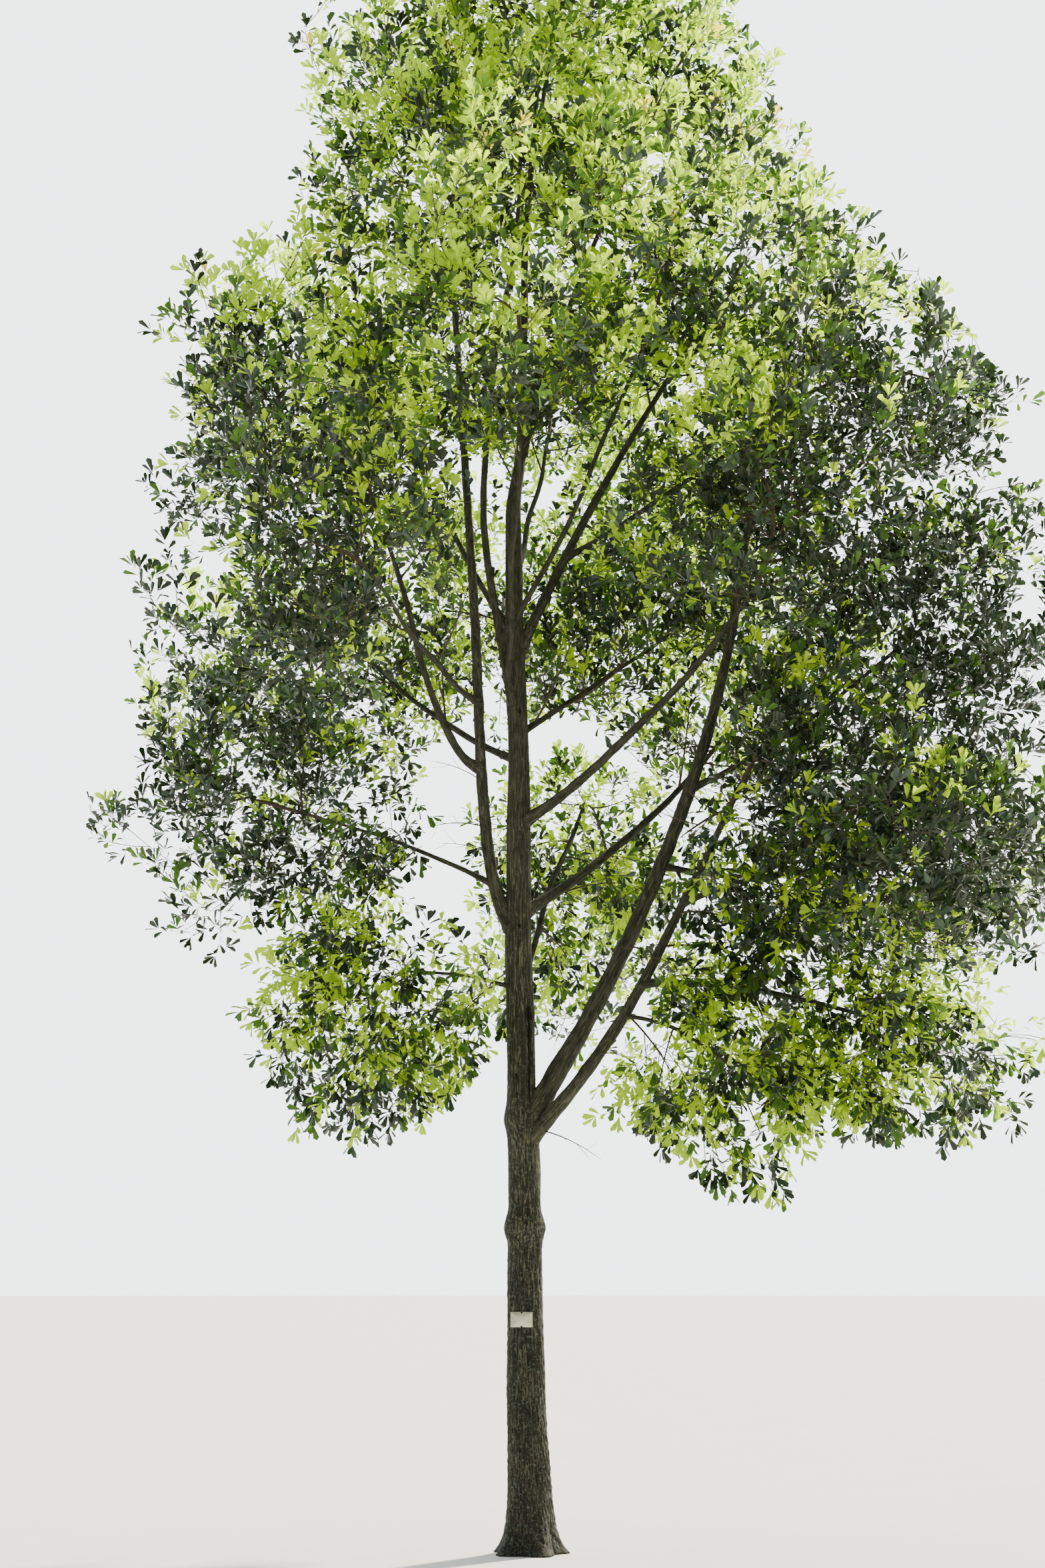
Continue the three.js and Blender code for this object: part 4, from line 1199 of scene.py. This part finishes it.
def tube_batch(twigs, steps, sides):
    """Many closed tubes at once: steps rings of sides points each, a point at the tip, a cap at the foot."""
    total = len(twigs.foot)
    t = np.broadcast_to(np.linspace(0, 1, steps + 1)[:-1], (total, steps))
    middle, heading, radius = twigs.point(t), twigs.along(t), twigs.radius(t)
    reference = np.where(np.abs(unit(twigs.span)[:, :1]) < 0.8, ACROSS, AWAY)[:, None]
    across = unit(reference - heading * np.sum(heading * reference, -1, keepdims=True))
    beside = np.cross(across, heading)
    turn = np.arange(sides) * 2 * np.pi / sides
    out = across[:, :, None] * np.cos(turn)[:, None] + beside[:, :, None] * np.sin(turn)[:, None]
    rings = (middle[:, :, None] + out * radius[:, :, None, None]).reshape(total, steps * sides, 3)
    points = np.concatenate([rings, twigs.tip[:, None]], 1)
    ring = np.arange(sides)
    after = (ring + 1) % sides
    low = (np.arange(steps - 1) * sides)[:, None]
    a, b, c, d = low + ring, low + after, low + sides + after, low + sides + ring
    walls = np.concatenate([np.stack([b, a, c], -1), np.stack([c, a, d], -1)]).reshape(-1, 3)
    top = (steps - 1) * sides
    tips = np.stack([top + after, top + ring, np.full(sides, steps * sides)], -1)
    foot = np.stack([np.zeros(sides - 2, int), ring[1:-1], ring[2:]], -1)
    one = np.concatenate([walls, tips, foot])
    triangles = one[None] + (np.arange(total) * points.shape[1])[:, None, None]
    return points.reshape(-1, 3), triangles.reshape(-1, 3)


def joined_arrays(batches):
    """Points and triangles of several meshes as one."""
    points, triangles, start = [], [], 0
    for some_points, some_triangles in batches:
        points.append(some_points)
        triangles.append(some_triangles + start)
        start += len(some_points)
    return np.concatenate(points), np.concatenate(triangles)


# A leaf, widest well past its middle and folded a little along its midrib, as shares of its length
# along it, across it and out of its face: base, midrib, tip, and two points on each side.
# The points across are shares of half its width.
LEAF_POINTS = np.array([
    (0.0, 0.0, 0.0),
    (0.58, 0.0, -0.035),
    (1.0, 0.0, -0.07),
    (0.46, 0.62, 0.03),
    (0.84, 0.98, 0.02),
    (0.46, -0.62, 0.03),
    (0.84, -0.98, 0.02),
])
LEAF_TRIANGLES = np.array([(0, 1, 3), (3, 1, 4), (4, 1, 2), (0, 5, 1), (5, 6, 1), (6, 2, 1)])[:, ::-1]


def leaf_arrays(leaves, width):
    """All of a mass's leaves: base + along x + across y width/2 + face z, each times the leaf's length."""
    across = np.cross(leaves.face, leaves.along)
    shape = LEAF_POINTS * np.array((1, width / 2, 1))
    axes = np.stack([leaves.along, across, leaves.face], 1)
    points = leaves.base[:, None] + (shape @ axes) * leaves.size[:, None, None]
    starts = (np.arange(len(leaves.base)) * len(LEAF_POINTS))[:, None, None]
    triangles = LEAF_TRIANGLES[None] + starts
    return points.reshape(-1, 3), triangles.reshape(-1, 3), np.repeat(leaves.shade, len(LEAF_TRIANGLES))


# Materials


def per_mm(size):
    """The scale of a pattern whose features are size mm across."""
    return 1000 / size


def new_material(name):
    """An empty material and its tree."""
    material = bpy.data.materials.new(name)
    material.use_nodes = True
    tree = material.node_tree
    tree.nodes.clear()
    return material, tree


def add(tree, kind, settings=None, stops=(), **inputs):
    """The outputs of one new shader node, with its settings, its colour stops and its inputs.

    An input is a value for the socket of that name, or a socket to link. Its name has underscores
    for spaces, or is a number after one underscore. A stop is a place and a grey or a colour.
    """
    node = tree.nodes.new("ShaderNode" + kind)
    for key, value in (settings or {}).items():
        setattr(node, key, value)
    for key, value in inputs.items():
        socket = node.inputs[int(key[1:])] if key[1:].isdigit() else node.inputs[key.replace("_", " ")]
        if isinstance(value, bpy.types.NodeSocket):
            tree.links.new(value, socket)
        else:
            socket.default_value = (*value, 1) if socket.type == "RGBA" else value
    for _ in stops[2:]:
        node.color_ramp.elements.new(0.5)
    for index, (place, shade) in enumerate(stops):
        element = node.color_ramp.elements[index]
        element.position = place
        element.color = (*np.broadcast_to(shade, 3), 1)
    return node.outputs


# Settings of the nodes that mix colours and work out numbers
BLEND = {"data_type": "RGBA", "blend_type": "MIX"}
TIMES, PLUS, MINUS, SIZE_OF, GREATER = (
    {"operation": name} for name in ("MULTIPLY", "ADD", "SUBTRACT", "ABSOLUTE", "MAXIMUM")
)


def toned(shade, share):
    """A colour times a share."""
    return [min(1, c * share) for c in shade]


def bark_material(bark):
    """Oak bark, grown and weathered.

    On the old trunk it is rough, dark and flecked with lichen, cracked upright into small plates.
    Higher up and on the boughs it is smoother and paler, with fine upright fissures. Cork has no shine.
    """
    material, tree = new_material("weathered_oak_bark")
    grain = add(tree, "Attribute", {"attribute_name": "grain"})["Vector"]
    wear = add(tree, "Attribute", {"attribute_name": "wear"})["Vector"]
    furrow, age, wound = add(tree, "SeparateXYZ", _0=wear)

    # Plates on old bark with painted shade in the cracks between them, streaks drawn out along young bark,
    # and darker patches
    plates = add(tree, "TexNoise", Vector=grain, Scale=per_mm(26), Detail=6, Roughness=0.7)[0]
    drawn = add(tree, "Mapping", Vector=grain, Scale=(1, 1, 0.16))[0]
    streaks = add(tree, "TexNoise", Vector=drawn, Scale=per_mm(13), Detail=5, Roughness=0.6)[0]
    patches = add(tree, "TexNoise", Vector=grain, Scale=per_mm(150), Detail=3)[0]
    stops = (0.3, bark.furrow), (0.48, toned(bark.ridge, 0.72)), (0.72, bark.ridge)
    old = add(tree, "ValToRGB", stops=stops, _0=plates)[0]
    pale = [(c + d) / 2 for c, d in zip(bark.smooth, bark.fissure)]
    stops = (0.3, toned(bark.smooth, 0.6)), (0.5, bark.smooth), (0.85, pale)
    young = add(tree, "ValToRGB", stops=stops, _0=streaks)[0]
    aged = add(tree, "ValToRGB", stops=((0.25, 0.0), (0.8, 1.0)), _0=age)[0]
    base = add(tree, "Mix", BLEND, _0=aged, _6=young, _7=old)[2]
    patches = add(tree, "ValToRGB", stops=((0.35, 0.0), (0.7, 0.4)), _0=patches)[0]
    base = add(tree, "Mix", BLEND, _0=patches, _6=base, _7=bark.furrow)[2]

    # Fine pale cracks: thin lines where a drawn-out noise crosses its middle value
    upright = add(tree, "Mapping", Vector=grain, Scale=(1, 1, 0.06))[0]
    crack = add(tree, "TexNoise", Vector=upright, Scale=per_mm(20), Detail=2)[0]
    crack = add(tree, "Math", MINUS, _0=crack, _1=0.5)[0]
    crack = add(tree, "Math", SIZE_OF, _0=crack, _1=0)[0]
    crack = add(tree, "ValToRGB", stops=((0.0, 0.9), (0.035, 0.0)), _0=crack)[0]
    stops = (0.1, 0.15), (0.42, 1.0), (0.75, 0.8), (1.0, 0.3)
    crack = add(tree, "Math", TIMES, _0=crack, _1=add(tree, "ValToRGB", stops=stops, _0=age)[0])[0]
    base = add(tree, "Mix", BLEND, _0=crack, _6=base, _7=bark.fissure)[2]

    # Lichen in crusts a few millimetres across, thickest on the oldest bark
    crust = add(tree, "TexNoise", Vector=grain, Scale=per_mm(17), Detail=4, Roughness=0.75)[0]
    crust = add(tree, "ValToRGB", stops=((0.54, 0.0), (0.64, 0.9)), _0=crust)[0]
    thickest = add(tree, "ValToRGB", stops=((0.1, 0.12), (0.75, 0.8)), _0=age)[0]
    crust = add(tree, "Math", TIMES, _0=crust, _1=thickest)[0]
    base = add(tree, "Mix", BLEND, _0=crust, _6=base, _7=bark.lichen)[2]

    # Painted shade darkens the furrows' bottoms, and the old wounds are dark
    furrow = add(tree, "ValToRGB", stops=((0.25, 0.0), (0.95, 0.62)), _0=furrow)[0]
    base = add(tree, "Mix", BLEND, _0=furrow, _6=base, _7=bark.furrow)[2]
    wound = add(tree, "ValToRGB", stops=((0.2, 0.0), (0.8, 0.9)), _0=wound)[0]
    base = add(tree, "Mix", BLEND, _0=wound, _6=base, _7=toned(bark.furrow, 0.4))[2]

    height = add(tree, "Math", TIMES, _0=plates, _1=1.2)[0]
    height = add(tree, "Math", PLUS, _0=height, _1=streaks)[0]
    bump = add(tree, "Bump", Height=height, Strength=0.75, Distance=0.006)[0]
    finish = {"Roughness": 0.92, "IOR": 1.45, "Specular_IOR_Level": 0.25}
    skin = add(tree, "BsdfPrincipled", Base_Color=base, Normal=bump, **finish)[0]
    add(tree, "OutputMaterial", Surface=skin)
    return material


def twig_material(bark):
    """Young bark of twigs: brown-grey and matt, with small pale corky spots."""
    material, tree = new_material("young_twig_bark")
    place = add(tree, "TexCoord")["Object"]
    mottle = add(tree, "TexNoise", Vector=place, Scale=per_mm(40), Detail=4)[0]
    stops = (0.3, toned(bark.twig, 0.5)), (0.55, bark.twig), (0.75, bark.smooth)
    shade = add(tree, "ValToRGB", stops=stops, _0=mottle)[0]
    bump = add(tree, "Bump", Height=mottle, Strength=0.4, Distance=0.002)[0]
    skin = add(tree, "BsdfPrincipled", Base_Color=shade, Roughness=0.85, Normal=bump, IOR=1.45)[0]
    add(tree, "OutputMaterial", Surface=skin)
    return material


# How wide the patches of a drifting tone are among the leaves, in mm
LEAF_DRIFT = 110

# How light changes as it passes a leaf, yellower and brighter than its face: times and plus, for red,
# green and blue
PASSING = (2.9, 0.01), (2.7, 0.02), (1.7, 0.008)


def leaf_material(name, base, shine, glow):
    """A living oak leaf: leathery and waxy, so half-glossy, and yellow-green with the sun behind it.

    A small drift of tone, a few leaves wide, keeps neighbouring sprays apart.
    """
    material, tree = new_material(name)
    place = add(tree, "TexCoord")["Object"]
    drift = add(tree, "TexNoise", Vector=place, Scale=per_mm(LEAF_DRIFT), Detail=3)[0]
    stops = (0.3, toned(base, 0.66)), (0.52, base), (0.75, toned(base, 1.3))
    tone = add(tree, "ValToRGB", stops=stops, _0=drift)[0]
    blade = add(tree, "BsdfPrincipled", Base_Color=tone, Roughness=shine, IOR=1.42)[0]

    through = [min(1, c * times + plus) for c, (times, plus) in zip(base, PASSING)]
    through = add(tree, "Mix", BLEND, _0=drift, _6=toned(through, 0.75), _7=through)[2]
    light = add(tree, "BsdfTranslucent", Color=through)[0]
    both = add(tree, "MixShader", _0=glow, _1=blade, _2=light)[0]
    add(tree, "OutputMaterial", Surface=both)
    return material


# The leaf colours, in the order of their numbers: name, setting, roughness, and the share of light
# that passes through. The sunlit, shaded and sheen leaves are one leaf with painted sun, painted shade
# and a painted sheen of the sky.
LEAF_FINISHES = (
    ("young_oak_leaf", "young", 0.5, 0.5),
    ("sunlit_oak_leaf", "sunlit", 0.42, 0.6),
    ("summer_oak_leaf", "middling", 0.38, 0.34),
    ("old_oak_leaf", "deep", 0.36, 0.16),
    ("waxy_oak_leaf", "sheen", 0.3, 0.1),
)


def mottled_material(name, tone, size, detail, darkest, full, **finish):
    """A finish that drifts from a darker share of its tone to the full one, in patches size mm wide."""
    material, tree = new_material(name)
    place = add(tree, "TexCoord")["Object"]
    drift = add(tree, "TexNoise", Vector=place, Scale=per_mm(size), Detail=detail)[0]
    shade = add(tree, "ValToRGB", stops=((0.3, toned(tone, darkest)), (full, tone)), _0=drift)[0]
    skin = add(tree, "BsdfPrincipled", Base_Color=shade, **finish)[0]
    add(tree, "OutputMaterial", Surface=skin)
    return material


def enamel_material(plate):
    """Baked enamel on sheet metal: smooth and half-matt, a little dulled by weather."""
    return mottled_material("pale_enamel", plate.face, 18, 5, 0.84, 0.6, Roughness=0.45)


def steel_material(plate):
    """Galvanised steel left outdoors: dull grey, mottled, with a worn shine."""
    return mottled_material("galvanised_steel", plate.steel, 3, 3, 0.6, 0.7, Metallic=0.9, Roughness=0.5)


def floor_material(stage):
    """Plain matt paper, with a trace of unevenness."""
    return mottled_material("matt_paper", stage.floor, 900, 2, 0.96, 0.7, Roughness=0.95)


# Operators


def shared(name, make, settings):
    """The material of that name, made when it is first needed."""
    return bpy.data.materials.get(name) or make(settings)


class OAK_OT_trunk(bpy.types.Operator):
    """Make the trunk's bark, with its root flare, furrows, healed rings and old wounds"""

    bl_idname = "oak.trunk"
    bl_label = "Trunk"

    def execute(self, context):
        bark = context.scene.oak_bark
        points, triangles, attributes = trunk_arrays(bark)
        material = shared("weathered_oak_bark", bark_material, bark)
        piece = mesh_piece("trunk_bark", points, triangles, [material], attributes=attributes)
        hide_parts("trunk")
        return {"FINISHED"}


class OAK_OT_boughs(bpy.types.Operator):
    """Make each bough's bark, from inside what carries it to its tip"""

    bl_idname = "oak.boughs"
    bl_label = "Boughs"

    def execute(self, context):
        bark = context.scene.oak_bark
        material = shared("weathered_oak_bark", bark_material, bark)
        for index, (name, limb) in enumerate(LIMBS.items()):
            points, triangles, attributes = bough_arrays(limb, index)
            piece = mesh_piece(f"bark_{name}", points, triangles, [material], attributes=attributes)
            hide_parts(f"bough_{name}")
        return {"FINISHED"}


class OAK_OT_twigs(bpy.types.Operator):
    """Grow the stem, twigs and shoots of every mass"""

    bl_idname = "oak.twigs"
    bl_label = "Twigs"

    def execute(self, context):
        material = shared("young_twig_bark", twig_material, context.scene.oak_bark)
        for index, mass in enumerate(MASSES):
            growth = growth_of(index)
            points, triangles = joined_arrays([
                tube_batch(growth.stems, *STEM_GRID),
                tube_batch(growth.sides, *SIDE_GRID),
                tube_batch(growth.shoots, *SHOOT_GRID),
            ])
            piece = mesh_piece(f"twigs_{mass.name}", points, triangles, [material])
            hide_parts(f"leaves_{mass.name}")
        twigs, forked = bare_twigs()
        points, triangles = joined_arrays([tube_batch(twigs, *BARE_GRID), tube_batch(forked, *SIDE_GRID)])
        mesh_piece("twigs_bare", points, triangles, [material])
        return {"FINISHED"}


class OAK_OT_leaves(bpy.types.Operator):
    """Grow the leaves of every mass, in alternate rows and rosettes on the shoots"""

    bl_idname = "oak.leaves"
    bl_label = "Leaves"

    def execute(self, context):
        leaf = context.scene.oak_leaf
        materials = [leaf_material(name, getattr(leaf, key), *look) for name, key, *look in LEAF_FINISHES]
        for index, mass in enumerate(MASSES):
            points, triangles, dealt = leaf_arrays(growth_of(index).leaves, leaf.leaf_width)
            piece = mesh_piece(f"foliage_{mass.name}", points, triangles, materials, dealt=dealt)
            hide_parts(f"leaves_{mass.name}")
        return {"FINISHED"}


def slab(centre, size, corner, steps=6):
    """A flat plate square to Y, with round corners: its outline twice, front and back, closed by fans."""
    half_x, half_y, half_z = size[0] / 2 - corner, size[1] / 2, size[2] / 2 - corner
    corners = np.array(((1, 1, 0), (-1, 1, np.pi / 2), (-1, -1, np.pi), (1, -1, 1.5 * np.pi)))
    side, rise, start = corners[:, :, None].transpose(1, 0, 2)
    turn = start + np.linspace(0, np.pi / 2, steps)
    along = (side * half_x + corner * np.cos(turn)).ravel()
    above = (rise * half_z + corner * np.sin(turn)).ravel()
    rings = np.stack([np.stack([along, np.full_like(along, y), above], -1) for y in (-half_y, half_y)])
    return closed_tube(rings + centre, centre - half_y * AWAY, centre + half_y * AWAY)


def dome(centre, radius, rise, sides=20, steps=5):
    """A low round head that stands out towards -Y: radius cos(a), rise sin(a)."""
    angle = np.linspace(0, np.pi / 2, steps)[:-1, None]
    turn = np.arange(sides) * 2 * np.pi / sides
    out = np.broadcast_to(-rise * np.sin(angle), (len(angle), sides))
    rings = np.stack([radius * np.cos(angle) * np.cos(turn), out, radius * np.cos(angle) * np.sin(turn)], -1)
    return closed_tube(rings + centre, centre, centre - rise * AWAY)


# How far the plate stands off the bark, and the radius of its corners
STAND_OFF, PLATE_CORNER = 0.007, 0.003

# The plate's two fixings: a round head's radius and rise, its shank's size and corners, and how much
# less than the plate's height the two stand apart
HEAD_RADIUS, HEAD_RISE = 0.006, 0.004
SHANK, SHANK_CORNER, EDGE_SPACE = np.array((0.008, 0.036, 0.008)), 0.0015, 0.006


class OAK_OT_plate(bpy.types.Operator):
    """Make the bare tag plate and its two fixings, flat against the front of the trunk"""

    bl_idname = "oak.plate"
    bl_label = "Tag plate"

    def execute(self, context):
        plate = context.scene.oak_plate
        touch = trunk_middle(plate.height)[1] - float(trunk_radius(plate.height, np.pi / 2))
        centre = np.array((plate.across, touch - plate.thickness / 2 - STAND_OFF, plate.height))
        points, triangles = slab(centre, (plate.width, plate.thickness, plate.tall), PLATE_CORNER)
        mesh_piece("tag_plate", points, triangles, [enamel_material(plate)])
        fixings = []
        for rise in (0.5, -0.5):
            spot = centre - AWAY * plate.thickness / 2 + UP * rise * (plate.tall - EDGE_SPACE)
            fixings.append(dome(spot, HEAD_RADIUS, HEAD_RISE))
            fixings.append(slab(spot + AWAY * SHANK / 2, SHANK, SHANK_CORNER))
        points, triangles = joined_arrays(fixings)
        mesh_piece("tag_fixings", points, triangles, [steel_material(plate)])
        return {"FINISHED"}


# The floor's radius, its points and how far it lies under the tree's flat foot
FLOOR_RADIUS, FLOOR_POINTS, FLOOR_DROP = 400, 96, 0.001

# The way that the surround's light comes from, and where along it the light starts and is full
LIGHT_FROM, LIGHT_STARTS, LIGHT_FULL = (0, 0.8, 0.6), 0.1, 0.75

# Where the lights stand and what they point at, the key light's angle and the fill light's size
KEY_PLACE, FILL_PLACE, LIT_MIDDLE = (6, 7, 14), (-7, -15, 9), (0, 0, 5)
KEY_ANGLE, FILL_SIZE = math.radians(4), 9

# The camera's turn up from looking straight down, its sensor's width in mm, and how far it sees
CAMERA_TURN, SENSOR_WIDTH, SIGHT = math.radians(103), 36, 1000


class OAK_OT_stage(bpy.types.Operator):
    """Make the pale floor, the soft studio light and the camera"""

    bl_idname = "oak.stage"
    bl_label = "Stage"

    def execute(self, context):
        stage = context.scene.oak_stage
        scene = context.scene
        turn = np.arange(FLOOR_POINTS) * 2 * np.pi / FLOOR_POINTS
        rim = np.stack([FLOOR_RADIUS * np.cos(turn), FLOOR_RADIUS * np.sin(turn), 0 * turn - FLOOR_DROP], -1)
        mesh = bpy.data.meshes.new("floor")
        mesh.from_pydata(rim.tolist(), [], [list(range(FLOOR_POINTS))])
        mesh.materials.append(floor_material(stage))
        floor = bpy.data.objects.new("floor", mesh)
        scene.collection.objects.link(floor)

        # The surround lights the tree more from behind and above than from the front, as a studio's lit
        # back wall and ceiling do, and looks equally pale from every side
        world = bpy.data.worlds.new("surround")
        world.use_nodes = True
        tree = world.node_tree
        way = add(tree, "TexCoord")["Generated"]
        depth = add(tree, "VectorMath", {"operation": "DOT_PRODUCT"}, _0=way, _1=LIGHT_FROM)[1]
        eased = {"interpolation_type": "SMOOTHSTEP"}
        span = {"_1": LIGHT_STARTS, "_2": LIGHT_FULL, "_3": stage.near, "_4": stage.far}
        strength = add(tree, "MapRange", eased, _0=depth, **span)[0]
        seen = add(tree, "Math", TIMES, _0=add(tree, "LightPath")["Is Camera Ray"], _1=stage.far)[0]
        back = tree.nodes["Background"]
        back.inputs[0].default_value = (*stage.sky, 1)
        tree.links.new(add(tree, "Math", GREATER, _0=strength, _1=seen)[0], back.inputs[1])
        scene.world = world

        # A high key light behind the crown and to the right, which the leaves glow against
        key = bpy.data.lights.new("key_light", "SUN")
        key.energy = stage.key
        key.angle = KEY_ANGLE
        key.color = linear("#fff4dc")
        add_light(scene, key, KEY_PLACE, LIT_MIDDLE)

        # A broad soft light in front and to the left
        fill = bpy.data.lights.new("fill_light", "AREA")
        fill.energy = stage.fill
        fill.size = FILL_SIZE
        fill.color = linear("#eef4ff")
        add_light(scene, fill, FILL_PLACE, LIT_MIDDLE)

        camera = bpy.data.cameras.new("camera")
        camera.lens = stage.lens
        camera.sensor_width = SENSOR_WIDTH
        camera.clip_end = SIGHT
        view = bpy.data.objects.new("camera", camera)
        view.location = VIEWPOINT
        view.rotation_euler = (CAMERA_TURN, 0, 0)
        scene.collection.objects.link(view)
        scene.camera = view
        return {"FINISHED"}


def add_light(scene, light, place, target):
    """A light at a place, turned to a target."""
    lamp = bpy.data.objects.new(light.name, light)
    lamp.location = place
    lamp.rotation_euler = (Vector(place) - Vector(target)).to_track_quat("Z", "Y").to_euler()
    scene.collection.objects.link(lamp)


OPERATORS = (OAK_OT_trunk, OAK_OT_boughs, OAK_OT_twigs, OAK_OT_leaves, OAK_OT_plate, OAK_OT_stage)
SETTINGS = {
    "oak_bark": BarkSettings,
    "oak_leaf": LeafSettings,
    "oak_plate": PlateSettings,
    "oak_stage": StageSettings,
}


class OAK_PT_panel(bpy.types.Panel):
    """Lists the oak's pieces and their settings"""

    bl_idname = "OAK_PT_panel"
    bl_label = "Water oak"
    bl_space_type = "VIEW_3D"
    bl_region_type = "UI"
    bl_category = "Water oak"

    def draw(self, context):
        for operator in OPERATORS:
            self.layout.operator(operator.bl_idname)
        for key, group in SETTINGS.items():
            box = self.layout.box()
            for name in group.__annotations__:
                box.prop(getattr(context.scene, key), name)


CLASSES = (*SETTINGS.values(), *OPERATORS, OAK_PT_panel)


def register():
    """Adds the operators, the panel and the settings to Blender."""
    for cls in CLASSES:
        bpy.utils.register_class(cls)
    for key, group in SETTINGS.items():
        setattr(bpy.types.Scene, key, PointerProperty(type=group))


def unregister():
    """Takes them out again."""
    for key in SETTINGS:
        delattr(bpy.types.Scene, key)
    for cls in reversed(CLASSES):
        bpy.utils.unregister_class(cls)


def main():
    """Makes the whole scene."""
    register()
    bpy.ops.oak.trunk()
    bpy.ops.oak.boughs()
    bpy.ops.oak.twigs()
    bpy.ops.oak.leaves()
    bpy.ops.oak.plate()
    bpy.ops.oak.stage()


if __name__ == "__main__":
    main()
